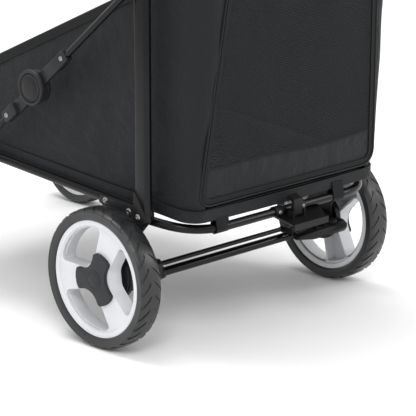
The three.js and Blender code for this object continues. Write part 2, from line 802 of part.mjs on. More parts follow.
function handleBar() {
  const { y, z } = HANDLE_TOP;
  const lean = new THREE.Vector3(0, y - UPRIGHT_Y, z - HANDLE_BEND_Z).normalize();
  const bendTop = new THREE.Vector3(UPRIGHT_X, UPRIGHT_Y, HANDLE_BEND_Z).addScaledVector(lean, 30);
  const cornerStart = new THREE.Vector3(UPRIGHT_X, y, z).addScaledVector(lean, -HANDLE_CORNER);
  const corner = new THREE.Vector3(UPRIGHT_X, y, z);
  const cornerEnd = new THREE.Vector3(UPRIGHT_X - HANDLE_CORNER, y, z);
  const foot = new THREE.Vector3(UPRIGHT_X, UPRIGHT_Y, UPRIGHT_TOP + GAP);
  const bendStart = new THREE.Vector3(UPRIGHT_X, UPRIGHT_Y, HANDLE_BEND_Z - 30);
  const bendMiddle = new THREE.Vector3(UPRIGHT_X, UPRIGHT_Y, HANDLE_BEND_Z);
  const flip = (point) => point.clone().setX(-point.x);
  const path = new THREE.CurvePath();
  path.add(new THREE.LineCurve3(foot, bendStart));
  path.add(new THREE.QuadraticBezierCurve3(bendStart, bendMiddle, bendTop));
  path.add(new THREE.LineCurve3(bendTop, cornerStart));
  path.add(new THREE.QuadraticBezierCurve3(cornerStart, corner, cornerEnd));
  path.add(new THREE.LineCurve3(cornerEnd, flip(cornerEnd)));
  path.add(new THREE.QuadraticBezierCurve3(flip(cornerEnd), flip(corner), flip(cornerStart)));
  path.add(new THREE.LineCurve3(flip(cornerStart), flip(bendTop)));
  path.add(new THREE.QuadraticBezierCurve3(flip(bendTop), flip(bendMiddle), flip(bendStart)));
  path.add(new THREE.LineCurve3(flip(bendStart), flip(foot)));
  return swept(path, HANDLE_RADIUS, 48, 8);
}

for (const [tag, side] of SIDES) {
  piece(`upright_${tag}`, sided(upright(), side), TUBE_BLACK);
}
piece("handle_bar", handleBar(), TUBE_BLACK);
const gripSleeve = pipe(
  [-GRIP_HALF, HANDLE_TOP.y, HANDLE_TOP.z],
  [GRIP_HALF, HANDLE_TOP.y, HANDLE_TOP.z],
  GRIP_RADIUS,
  GRIP_RADIUS - HANDLE_RADIUS - 2 * GAP,
);
piece("handle_grip", gripSleeve, FOAM);

// ---------------------------------------------------------------- folding struts

/** A bar along the struts' line between two distances from the elbow, flat in X. */
function strutBar(from, to, wide, x0, x1) {
  const a = alongStrut(from);
  const b = alongStrut(to);
  const dy = (-wide / 2) * Math.sin(strutAngle);
  const dz = (wide / 2) * Math.cos(strutAngle);
  return prismX(
    [
      [a.y - dy, a.z - dz],
      [b.y - dy, b.z - dz],
      [b.y + dy, b.z + dz],
      [a.y + dy, a.z + dz],
    ],
    x0,
    x1,
  );
}

/** A strut's tube, from its eye to the end that sits in an elbow arm. */
function strutTube(eyeAt, tubeEndAt) {
  const eyeCentre = alongStrut(eyeAt);
  const inner = STRUT_X - ARM_THICK / 2;
  const outer = STRUT_X + ARM_THICK / 2;
  const sign = Math.sign(tubeEndAt - eyeAt);
  const near = alongStrut(eyeAt + sign * 8);
  const far = alongStrut(tubeEndAt);
  const bar = rod([STRUT_X, near.y, near.z], [STRUT_X, far.y, far.z], STRUT_RADIUS, 10);
  const eye = rodX(eyeCentre, EYE_RADIUS, inner, outer, 14);
  return cut(join(bar, eye), rodX(eyeCentre, EYE_PIN_RADIUS + RUN, inner - 1, outer + 1));
}

/** Half of the elbow: a hub, a thin neck beside the other arm's, and a full sleeve. */
function elbowArm(sign, hubX0, hubX1, neckX0, neckX1) {
  const inner = STRUT_X - ARM_THICK / 2;
  const outer = STRUT_X + ARM_THICK / 2;
  const hub = rodX(ELBOW, ELBOW_HUB_RADIUS, hubX0, hubX1, 20);
  const neck = strutBar(0, sign * (ARM_NECK + 2), ARM_WIDE, neckX0, neckX1);
  const sleeve = strutBar(sign * ARM_NECK, sign * ARM_LENGTH, ARM_WIDE, inner, outer);
  const a = alongStrut(sign * (ARM_NECK + 10));
  const b = alongStrut(sign * (ARM_LENGTH + 1));
  const socket = rod([STRUT_X, a.y, a.z], [STRUT_X, b.y, b.z], STRUT_RADIUS + 2 * GAP, 10);
  return cut(join(hub, neck, sleeve), socket);
}

const elbowInner = STRUT_X - ARM_THICK / 2;
const elbowOuter = STRUT_X + ARM_THICK / 2;
const buttonFloor = KNOB_OUTER_X - BUTTON_DEPTH - 5;
const lowerArm = elbowArm(-1, elbowInner, STRUT_X - GAP, elbowInner, STRUT_X - GAP);
const upperHub = elbowArm(1, STRUT_X, elbowOuter, STRUT_X, elbowOuter);
const knobBody = rodX(ELBOW, KNOB_RADIUS, elbowOuter - 1, KNOB_OUTER_X - 1, 24);
const recess = rodX(ELBOW, BUTTON_RADIUS + RUN, buttonFloor, KNOB_OUTER_X + 1, 24);
const button = rodX(ELBOW, BUTTON_RADIUS, KNOB_OUTER_X - BUTTON_DEPTH, KNOB_OUTER_X, 24);
const socketEnd = ARM_NECK + 12;
const strutLength = Math.hypot(STRUT_TOP.y - ELBOW.y, STRUT_TOP.z - ELBOW.z);

for (const [tag, side] of SIDES) {
  piece(`strut_lower_${tag}`, sided(strutTube(-LOWER_STRUT, -socketEnd), side), TUBE_BLACK);
  piece(`strut_upper_${tag}`, sided(strutTube(strutLength, socketEnd), side), TUBE_BLACK);
  piece(`elbow_lower_${tag}`, sided(lowerArm, side), PLASTIC);
  piece(`elbow_upper_${tag}`, sided(cut(join(upperHub, knobBody), recess), side), PLASTIC);
  piece(`knob_button_${tag}`, sided(button, side), CAP_GREY);
}

// ---------------------------------------------------------------- cabin and hood

/** A sheet of even thickness under a line of [y, z] points, between two x planes. */
function sheetUnder(line, thick, half) {
  const below = line.map(([y, z], i) => {
    const [py, pz] = line[Math.max(i - 1, 0)];
    const [ny, nz] = line[Math.min(i + 1, line.length - 1)];
    const length = Math.hypot(ny - py, nz - pz);
    return [y - (thick * (nz - pz)) / length, z + (thick * (ny - py)) / length];
  });
  return prismX([...line, ...below.reverse()], -half, half);
}

const rimStart = [HOOD_CENTRE.y, HOOD_CENTRE.z];
const rimZ = (y) => HOOD_CENTRE.z - (HOOD_CENTRE.y - y) * Math.tan(RIM_SLOPE);
const frontTopZ = cabinBottomZ(CABIN_FRONT_Y) + FRONT_WALL_HIGH;
const rimBendY = CABIN_FRONT_Y + 130;
const inside = CABIN_HALF - FABRIC - GAP;
const rearTop = hoodPoint(HOOD_REAR_START);

function cabinSide() {
  return prismX(
    [
      [CABIN_REAR_Y, CABIN_BOTTOM_Z],
      rearTop,
      ...hoodArc(HOOD_REAR_START, HOOD_REAR_END, 5).slice(1),
      rimStart,
      [rimBendY, rimZ(rimBendY)],
      [CABIN_FRONT_Y, frontTopZ],
      [CABIN_FRONT_Y, cabinBottomZ(CABIN_FRONT_Y)],
    ],
    CABIN_HALF - FABRIC,
    CABIN_HALF,
  );
}

/** A flat piece lying in the leaning rear wall, from an outline of [x, z] points. */
function rearWallPiece(outline, front, thick, holes = []) {
  const lean = Math.atan(REAR_LEAN);
  const along = ([x, z]) => [x, (z - CABIN_BOTTOM_Z) / Math.cos(lean)];
  const flat = extruded(outline.map(along), thick, holes.map((hole) => hole.map(along)));
  const turn = new THREE.Matrix4().makeBasis(
    new THREE.Vector3(1, 0, 0),
    new THREE.Vector3(0, Math.sin(lean), Math.cos(lean)),
    new THREE.Vector3(0, -Math.cos(lean), Math.sin(lean)),
  );
  return solidOf(flat.applyMatrix4(turn).translate(0, CABIN_REAR_Y - front, CABIN_BOTTOM_Z));
}

const doorOutline = (grow) => [
  [-DOOR_HALF_BOTTOM - grow, DOOR_BOTTOM_Z - grow],
  [DOOR_HALF_BOTTOM + grow, DOOR_BOTTOM_Z - grow],
  [DOOR_HALF_TOP + 14 + grow, DOOR_TOP_Z - 60],
  [DOOR_HALF_TOP - 40, DOOR_TOP_Z + grow],
  [-DOOR_HALF_TOP + 40, DOOR_TOP_Z + grow],
  [-DOOR_HALF_TOP - 14 - grow, DOOR_TOP_Z - 60],
];

function cabinRear() {
  const outline = [
    [-inside, CABIN_BOTTOM_Z + 1],
    [inside, CABIN_BOTTOM_Z + 1],
    [inside, rearTop[1] - FABRIC],
    [-inside, rearTop[1] - FABRIC],
  ];
  return rearWallPiece(outline, 0, FABRIC, [doorOutline(DOOR_GAP).reverse()]);
}

const doorPanel = rearWallPiece(doorOutline(0), 0, FABRIC);
const cabinFront = box(
  [-inside, CABIN_FRONT_Y, cabinBottomZ(CABIN_FRONT_Y) + 1],
  [inside, CABIN_FRONT_Y + FABRIC, frontTopZ - 1],
);

/** A floor layer between two heights over the cabin's bottom line. */
function floorLayer(low, high, half, rear, front) {
  return prismX(
    [
      [rear, cabinBottomZ(rear) + low],
      [rear, cabinBottomZ(rear) + high],
      [front, cabinBottomZ(front) + high],
      [front, cabinBottomZ(front) + low],
    ],
    -half,
    half,
  );
}

const coverTop = hoodPoint(Math.PI + RIM_SLOPE);
const coverLine = [
  [CABIN_FRONT_Y + FABRIC + 3, frontTopZ - 2 * FABRIC],
  [rimBendY, rimZ(rimBendY) - FABRIC],
  [coverTop[0], coverTop[1] - FABRIC],
];
const boardRear = CABIN_REAR_Y - FABRIC - 2;
const boardFront = CABIN_FRONT_Y + FABRIC + GAP;

for (const [tag, side] of SIDES) {
  piece(`cabin_side_${tag}`, sided(cabinSide(), side), FABRIC_DARK);
}
piece("cabin_rear", cabinRear(), FABRIC_DARK);
piece("cabin_front", cabinFront, FABRIC_DARK);
piece("rear_door", doorPanel, MESH_DARK);
piece("front_mesh_cover", sheetUnder(coverLine, 3, inside), MESH_DARK);
piece("floor_board", floorLayer(1, 1 + BOARD_THICK, inside, boardRear, boardFront), PLASTIC);
piece(
  "cushion",
  floorLayer(
    1 + BOARD_THICK + GAP,
    BOARD_THICK + CUSHION_THICK,
    inside - CUSHION_INSET,
    boardRear - CUSHION_INSET,
    boardFront + CUSHION_INSET,
  ),
  PAD_GREY,
);

/** A sector of the hood's top between two angles, between the cabin sides or over them. */
function hoodTop(start, end, outerRadius, thick, half, count) {
  const outer = hoodArc(start, end, count, outerRadius);
  const inner = hoodArc(start, end, count, outerRadius - thick).reverse();
  return prismX([...outer, ...inner], -half, half);
}

/** The flat side of a hood sector, from a small radius round the pivot to the top. */
function hoodCheek(start, end, outerRadius, x0, x1, count) {
  const outline = [hoodPoint(start, 22), ...hoodArc(start, end, count, outerRadius), hoodPoint(end, 22)];
  return prismX(outline, x0, x1);
}

const hoodSkin = 4;
const canopyStart = HOOD_REAR_END + 0.6 * (Math.PI / 180);
const canopyEnd = BOW_START - 0.6 * (Math.PI / 180);

/** The fabric that folds up when the bow swings back. */
function hoodCanopy() {
  const top = hoodTop(canopyStart, canopyEnd, HOOD_RADIUS, hoodSkin, CABIN_HALF, 7);
  const cheek = hoodCheek(canopyStart, canopyEnd, HOOD_RADIUS, CABIN_HALF - hoodSkin, CABIN_HALF, 7);
  return join(top, cheek, sided(cheek, -1));
}

/** The stiff bow and brim at the hood's front edge, pivoted on the cabin's sides. */
function hoodBow() {
  const top = hoodTop(BOW_START, BOW_END, HOOD_RADIUS, 10, CABIN_HALF, 2);
  const cheek = hoodCheek(BOW_START, BOW_END, HOOD_RADIUS, CABIN_HALF - hoodSkin, CABIN_HALF, 2);
  const x0 = CABIN_HALF + 2 * GAP;
  const x1 = x0 + BOW_ARM_THICK;
  const [y, z] = rimStart;
  const disc = rodX({ y, z }, BOW_DISC_RADIUS, x0, x1, 16);
  const from = BOW_START + BOW_FOOT_INSET;
  const to = BOW_END - BOW_FOOT_INSET;
  const bar = prismX([rimStart, hoodPoint(from, 60), hoodPoint(to, 60)], x0, x1);
  const footOutline = [hoodPoint(from, 36), hoodPoint(from, 58), hoodPoint(to, 58), hoodPoint(to, 36)];
  const foot = prismX(footOutline, CABIN_HALF - 2, x1 - 1);
  const leg = join(cheek, disc, bar, foot);
  return join(top, leg, sided(leg, -1));
}

piece("hood_rear", hoodTop(HOOD_REAR_START, HOOD_REAR_END, HOOD_RADIUS - 1, FABRIC, inside, 5), FABRIC_DARK);
piece("hood_canopy", hoodCanopy(), FABRIC_DARK);
piece("hood_bow", hoodBow(), FABRIC_DARK);

// ---------------------------------------------------------------- origin at the middle of the bottom

const extent = new THREE.Box3().setFromObject(stroller, true);
stroller.position.set(0, -(extent.min.y + extent.max.y) / 2, -extent.min.z);

export default stroller;
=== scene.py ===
"""Surfaces and finishes of a folding pet stroller, built on its fixed frame.

Plans are drawn in millimetres from the ground under the middle of the rear axle: X to the
stroller's left, Y to its rear, Z up. at() turns such a point into the frame's metres.
"""

from __future__ import annotations

import logging
import math
from collections.abc import Callable, Sequence
from dataclasses import dataclass
from enum import Enum
from typing import Any

import bmesh
import bpy
from mathutils import Matrix, Vector, noise


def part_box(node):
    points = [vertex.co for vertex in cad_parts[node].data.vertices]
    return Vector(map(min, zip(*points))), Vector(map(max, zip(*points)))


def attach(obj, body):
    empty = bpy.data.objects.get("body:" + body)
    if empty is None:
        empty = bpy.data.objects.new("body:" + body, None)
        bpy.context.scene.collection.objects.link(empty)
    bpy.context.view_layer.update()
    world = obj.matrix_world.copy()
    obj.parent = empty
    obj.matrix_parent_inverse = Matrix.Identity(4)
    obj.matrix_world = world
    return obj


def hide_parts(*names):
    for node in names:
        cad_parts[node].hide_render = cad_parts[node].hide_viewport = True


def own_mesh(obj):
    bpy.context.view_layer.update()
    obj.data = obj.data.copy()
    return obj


LOG = logging.getLogger("pet_stroller")
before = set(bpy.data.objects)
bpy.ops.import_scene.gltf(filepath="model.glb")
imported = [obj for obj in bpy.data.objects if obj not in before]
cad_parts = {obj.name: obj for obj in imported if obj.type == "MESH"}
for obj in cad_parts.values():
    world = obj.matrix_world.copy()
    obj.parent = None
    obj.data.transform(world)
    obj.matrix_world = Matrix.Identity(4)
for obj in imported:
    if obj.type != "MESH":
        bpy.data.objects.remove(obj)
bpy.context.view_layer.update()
MM = 0.001
TURN = 2 * math.pi
ACROSS = Vector((1, 0, 0))
REARWARD = Vector((0, 1, 0))
UP = Vector((0, 0, 1))
MIRROR = Matrix.Scale(-1, 4, ACROSS)
TUBE_RADIUS = 8.0
# Edges that turn by more than this many degrees stay sharp: on moulded parts, on tapes, on cloth.
SHARP, SHARP_TAPE, SHARP_CLOTH = 38.0, 50.0, 60.0
Colour = tuple[float, float, float]
Flat = tuple[float, float]
Flat3 = tuple[float, float, float]
FaceTest = Callable[[Vector, Vector], bool]


def middle(node: str) -> Vector:
    """The middle of a node's box, in metres."""
    low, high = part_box(node)
    return (low + high) / 2


AXLE_Y = middle("rear_left_tyre").y


def at(x: float, y: float, z: float) -> Vector:
    """A point of the plans, in the frame's metres."""
    return Vector((x * MM, y * MM + AXLE_Y, z * MM))


def plan_box(node: str) -> tuple[Flat3, Flat3]:
    """A node's box in plan millimetres: its lowest corner and its highest one."""
    low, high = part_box(node)
    return (
        (low.x / MM, (low.y - AXLE_Y) / MM, low.z / MM),
        (high.x / MM, (high.y - AXLE_Y) / MM, high.z / MM),
    )


def rear_bar() -> Flat:
    """The middle of the rear U tube's cross bar, as (y, z)."""
    low, high = plan_box("rear_u_tube")
    return high[1] - TUBE_RADIUS, low[2] + TUBE_RADIUS


def mirrored(half: list[Vector]) -> list[Vector]:
    """A half line carried on to the other side, its last point being on the middle."""
    return half + [MIRROR @ point for point in reversed(half[:-1])]


def blend(a: float, b: float, share: float) -> float:
    """The value a share of the way from a to b."""
    return a + (b - a) * share


def ease(share: float) -> float:
    """A share from 0 to 1, starting and ending softly."""
    share = min(1.0, max(0.0, share))
    return share * share * (3 - 2 * share)


def arc(centre: Flat, radius: float, start: float, end: float, steps: int) -> list[Flat]:
    """Points on a circle between two angles in degrees, both ends among them."""
    turns = [math.radians(blend(start, end, i / steps)) for i in range(steps + 1)]
    return [(centre[0] + radius * math.cos(t), centre[1] + radius * math.sin(t)) for t in turns]


# ---------------------------------------------------------------- shaders


class Space(Enum):
    """Where a finish takes its pattern's coordinates from."""

    OBJECT = "Object"
    UV = "UV"


class Value:
    """A number that varies over a surface, with arithmetic that adds Math nodes."""

    def __init__(self, graph: Graph, socket: bpy.types.NodeSocket) -> None:
        """Wraps one output socket of a graph."""
        self.graph = graph
        self.socket = socket

    def _math(self, operation: str, *values: Value | float, clamp: bool = False) -> Value:
        """Adds one Math node on the given values."""
        settings = {"operation": operation, "use_clamp": clamp}
        return self.graph.node("ShaderNodeMath", settings, dict(enumerate(values)))

    def __add__(self, other: Value | float) -> Value:
        """The sum."""
        return self._math("ADD", self, other)

    def __sub__(self, other: Value | float) -> Value:
        """The difference."""
        return self._math("SUBTRACT", self, other)

    def __rsub__(self, other: float) -> Value:
        """The difference from a number."""
        return self._math("SUBTRACT", other, self)

    def __mul__(self, other: Value | float) -> Value:
        """The product."""
        return self._math("MULTIPLY", self, other)

    __radd__ = __add__
    __rmul__ = __mul__

    def sine(self) -> Value:
        """The sine."""
        return self._math("SINE", self)

    def absolute(self) -> Value:
        """The value without its sign."""
        return self._math("ABSOLUTE", self)

    def above(self, other: Value | float) -> Value:
        """1 where it is greater than another value, and 0 elsewhere."""
        return self._math("GREATER_THAN", self, other)

    def span(self, low: float, high: float) -> Value:
        """A soft step from 0 at one value to 1 at another."""
        settings = {"interpolation_type": "SMOOTHSTEP"}
        inputs = {"Value": self, "From Min": low, "From Max": high}
        return self.graph.node("ShaderNodeMapRange", settings, inputs)


class Graph:
    """The nodes of one material, round a Principled shader."""

    def __init__(self, name: str) -> None:
        """Makes the material with its output and its shader."""
        self.material = bpy.data.materials.new(name)
        self.material.use_nodes = True
        self.tree = self.material.node_tree
        self.tree.nodes.clear()
        self.shader = self.tree.nodes.new("ShaderNodeBsdfPrincipled")
        output = self.tree.nodes.new("ShaderNodeOutputMaterial")
        self.tree.links.new(self.shader.outputs[0], output.inputs[0])

    def node(
        self,
        kind: str,
        settings: dict[str, Any] | None = None,
        inputs: dict[str | int, Any] | None = None,
        output: str | int = 0,
    ) -> Value:
        """Adds a node, sets it up, then feeds its sockets.

        Args:
            kind: The node's Blender type.
            settings: Its properties, set before its sockets.
            inputs: Values or links by socket name or number.
            output: The output that is returned.

        Returns:
            The chosen output as a Value.
        """
        made = self.tree.nodes.new(kind)
        for key, setting in (settings or {}).items():
            setattr(made, key, setting)
        for key, value in (inputs or {}).items():
            self.feed(made.inputs[key], value)
        return Value(self, made.outputs[output])

    def feed(self, socket: bpy.types.NodeSocket, value: Any) -> None:
        """Links a Value to a socket, or sets a plain number or colour on it."""
        if isinstance(value, Value):
            self.tree.links.new(value.socket, socket)
        elif isinstance(value, tuple) and len(value) == 3 and socket.type == "RGBA":
            socket.default_value = (*value, 1.0)
        else:
            socket.default_value = value

    def point(self, space: Space) -> Value:
        """The pattern's coordinates."""
        return self.node("ShaderNodeTexCoord", output=space.value)

    def part(self, vector: Value, axis: int) -> Value:
        """One coordinate of a vector."""
        return self.node("ShaderNodeSeparateXYZ", inputs={0: vector}, output=axis)

    def cloud(self, vector: Value, scale: float, detail: float = 2.0) -> Value:
        """Soft random noise from 0 to 1."""
        inputs = {"Vector": vector, "Scale": scale, "Detail": detail}
        return self.node("ShaderNodeTexNoise", None, inputs)

    def cells(self, vector: Value, scale: float, randomness: float) -> Value:
        """Distance to the nearest cell's middle."""
        inputs = {"Vector": vector, "Scale": scale, "Randomness": randomness}
        return self.node("ShaderNodeTexVoronoi", None, inputs)

    def shade(self, share: Value, first: Colour, second: Colour) -> Value:
        """A colour between two, by a varying share."""
        inputs = {0: share, 6: first, 7: second}
        return self.node("ShaderNodeMix", {"data_type": "RGBA"}, inputs, 2)

    def bump(self, height: Value, depth: float, strength: float = 1.0) -> Value:
        """A normal from a height of 0 to 1 that is worth a depth in metres."""
        inputs = {"Height": height, "Distance": depth, "Strength": strength}
        return self.node("ShaderNodeBump", None, inputs)

    def finish(self, **sockets: Any) -> bpy.types.Material:
        """Feeds the shader's sockets, named with _ for a space, and hands over the material."""
        for key, value in sockets.items():
            self.feed(self.shader.inputs[key.replace("_", " ")], value)
        return self.material


@dataclass(frozen=True)
class Finish:
    """A named finish whose material is built once, when a piece first wears it."""

    name: str
    slot: str
    colour: Colour

    def build(self, graph: Graph) -> bpy.types.Material:
        """Fills the graph; each kind of finish has its own way."""
        raise NotImplementedError

    def material(self) -> bpy.types.Material:
        """The finish's material, built on its first use."""
        known = bpy.data.materials.get(self.name)
        return known or self.build(Graph(self.name))

    def tint(self, share: float) -> Colour:
        """The colour, lighter or darker by a share."""
        return tuple(min(1.0, part * share) for part in self.colour)


@dataclass(frozen=True)
class Enamel(Finish):
    """Powder-coated tube: smooth, faintly orange-peeled, dulled in patches."""

    roughness: float = 0.17

    def build(self, graph: Graph) -> bpy.types.Material:
        """Dark gloss with a slow change of gloss and a fine ripple."""
        place = graph.point(Space.OBJECT)
        patches = graph.cloud(place, 22, 3)
        scuffs = graph.cloud(place, 240, 4).span(0.62, 0.8)
        peel = graph.cloud(place, 900, 1)
        return graph.finish(
            Base_Color=graph.shade(scuffs * 0.5, self.colour, self.tint(2.2)),
            Roughness=self.roughness + patches * 0.12 + scuffs * 0.1,
            Specular_IOR_Level=0.22,
            Normal=graph.bump(peel, 0.00004),
        )


@dataclass(frozen=True)
class Moulded(Finish):
    """Injection-moulded plastic with a fine grain."""

    roughness: float = 0.48
    grain: float = 0.00005
    gloss: float = 0.25

    def build(self, graph: Graph) -> bpy.types.Material:
        """Even colour with faint flow clouds, rubbed spots and a pitted grain."""
        place = graph.point(Space.OBJECT)
        flow = graph.cloud(place, 14, 3)
        rubbed = graph.cloud(place, 120, 5).span(0.58, 0.78)
        grain = graph.cloud(place, 1600, 2)
        mixed = graph.shade(flow, self.tint(0.9), self.tint(1.12))
        return graph.finish(
            Base_Color=mixed,
            Roughness=self.roughness + flow * 0.08 - rubbed * 0.07,
            Specular_IOR_Level=self.gloss,
            Normal=graph.bump(grain, self.grain),
        )


@dataclass(frozen=True)
class Rubber(Finish):
    """Tyre rubber: matt, a little dusty, with a fine skin."""

    def build(self, graph: Graph) -> bpy.types.Material:
        """Dark grey with dusty clouds and a faint skin texture."""
        place = graph.point(Space.OBJECT)
        dust = graph.cloud(place, 30, 4).span(0.35, 0.8)
        skin = graph.cloud(place, 1100, 3)
        return graph.finish(
            Base_Color=graph.shade(dust, self.colour, self.tint(1.35)),
            Roughness=0.33 + dust * 0.22,
            Normal=graph.bump(skin, 0.00008),
        )


@dataclass(frozen=True)
class Steel(Finish):
    """Bright plated steel of the rivets."""

    def build(self, graph: Graph) -> bpy.types.Material:
        """Plated metal with fine scratches."""
        place = graph.point(Space.OBJECT)
        scratches = graph.cloud(place, 2200, 3)
        return graph.finish(
            Base_Color=graph.shade(scratches, self.tint(0.85), self.colour),
            Metallic=1.0,
            Roughness=0.2 + scratches * 0.2,
            Normal=graph.bump(scratches, 0.00002),
        )


@dataclass(frozen=True)
class Woven(Finish):
    """Plain-woven cloth; its threads follow the piece's own UV map, which is in metres."""

    thread: float = 0.0009
    depth: float = 0.00022
    fuzz: float = 0.05

    def build(self, graph: Graph) -> bpy.types.Material:
        """Warp over weft, slubs, uneven dye and soft creases."""
        place = graph.point(Space.UV)
        warp = (graph.part(place, 0) * (math.pi / self.thread)).sine()
        weft = (graph.part(place, 1) * (math.pi / self.thread)).sine()
        weave = warp * weft * 0.5 + 0.5
        dye = graph.cloud(place, 9, 3)
        slubs = graph.cloud(place, 260, 3)
        creases = graph.cloud(place, 24, 3)
        share = weave * 0.35 + dye * 0.4 + slubs * 0.35
        fine = graph.bump(weave * 0.7 + slubs * 0.3, self.depth)
        soft = {"Height": creases, "Distance": 0.012, "Strength": 0.5, "Normal": fine}
        return graph.finish(
            Base_Color=graph.shade(share, self.tint(0.72), self.tint(1.3)),
            Roughness=0.5 + slubs * 0.2,
            Specular_IOR_Level=0.22,
            Sheen_Weight=self.fuzz,
            Sheen_Roughness=0.5,
            Sheen_Tint=(0.6, 0.65, 0.7, 1.0),
            Normal=graph.node("ShaderNodeBump", None, soft),
        )


@dataclass(frozen=True)
class Net(Finish):
    """Knitted mesh with small staggered holes, on a UV map in metres."""

    pitch: float = 0.0021
    see_through: float = 0.75

    def build(self, graph: Graph) -> bpy.types.Material:
        """Round holes in rows, thread relief between them and a faint moire of tension."""
        place = graph.point(Space.UV)
        cells = graph.cells(place, 1 / self.pitch, 0.0)
        thread = cells.span(0.3, 0.42)
        tension = graph.cloud(place, 12, 3)
        share = thread * 0.5 + tension * 0.5
        return graph.finish(
            Base_Color=graph.shade(share, self.tint(0.7), self.tint(1.35)),
            Roughness=0.7 + tension * 0.2,
            Specular_IOR_Level=0.25,
            Alpha=1.0 - (1.0 - thread) * self.see_through,
            Normal=graph.bump(thread, 0.0004),
        )


@dataclass(frozen=True)
class Webbing(Finish):
    """Ribbed tape: binding, straps and zip tape, with a stitched line near one edge."""

    rib: float = 0.0016
    stitch: float = 0.0042
    seam: float = 0.0024

    def build(self, graph: Graph) -> bpy.types.Material:
        """Cross ribs, thread variation, worn patches and a row of stitches by one edge."""
        place = graph.point(Space.UV)
        from_seam = (graph.part(place, 1) - self.seam).absolute()
        dashes = (graph.part(place, 0) * (TURN / self.stitch)).sine().above(-0.4)
        stitches = (1.0 - from_seam.span(0.0002, 0.0006)) * dashes
        ribs = (graph.part(place, 0) * (TURN / self.rib)).sine() * 0.5 + 0.5
        fibres = graph.cloud(place, 900, 2)
        worn = graph.cloud(place, 60, 3).span(0.45, 0.8)
        return graph.finish(
            Base_Color=graph.shade(
                ribs * 0.15 + worn * 0.3 + stitches * 0.55, self.tint(0.7), self.tint(2.4)
            ),
            Roughness=0.62 + fibres * 0.25,
            Specular_IOR_Level=0.2,
            Sheen_Weight=0.04,
            Normal=graph.bump(ribs * 0.5 + fibres * 0.2 + stitches * 0.5, 0.0004),
        )


@dataclass(frozen=True)
class Foam(Finish):
    """Closed-cell foam of the handle's grip."""

    def build(self, graph: Graph) -> bpy.types.Material:
        """Small pits of mixed size on a matt skin."""
        place = graph.point(Space.OBJECT)
        pits = graph.cells(place, 700, 1.0)
        clouds = graph.cloud(place, 40, 2)
        return graph.finish(
            Base_Color=graph.shade(clouds, self.colour, self.tint(1.5)),
            Roughness=0.85 + clouds * 0.1,
            Normal=graph.bump(pits, 0.0004),
        )


TUBE = Enamel("tube_enamel", "tube_black", (0.0035, 0.0036, 0.004))
BLACK = Moulded("black_moulding", "plastic_black", (0.005, 0.0052, 0.0058), 0.4)
GREY = Moulded("grey_moulding", "plastic_black", (0.014, 0.0146, 0.016), 0.4)
CAP = Moulded("cap_moulding", "cap_grey", (0.024, 0.025, 0.027), 0.5)
WHITE = Moulded("rim_moulding", "rim_white", (0.6, 0.61, 0.63), 0.36, 0.00002, 0.5)
TYRE = Rubber("tyre_rubber", "tyre_black", (0.014, 0.0145, 0.0155))
RIVET = Steel("rivet_steel", "rivet_metal", (0.3, 0.3, 0.3))
CLOTH = Woven("cabin_cloth", "cabin_fabric", (0.0056, 0.0068, 0.0081))
PAD = Woven("cushion_cloth", "cushion_fabric", (0.03, 0.032, 0.036), 0.0016, 0.0004, 0.15)
NET = Net("window_net", "mesh_fabric", (0.009, 0.0104, 0.0118), 0.0021, 0.45)
TAPE = Webbing("binding_tape", "trim_binding", (0.0045, 0.005, 0.0058))
CORD = Moulded("piping_cord", "trim_binding", (0.004, 0.0044, 0.005), 0.45, 0.0002)
FOAM = Foam("grip_foam", "grip_foam", (0.006, 0.006, 0.006))


# ---------------------------------------------------------------- the modelling bench


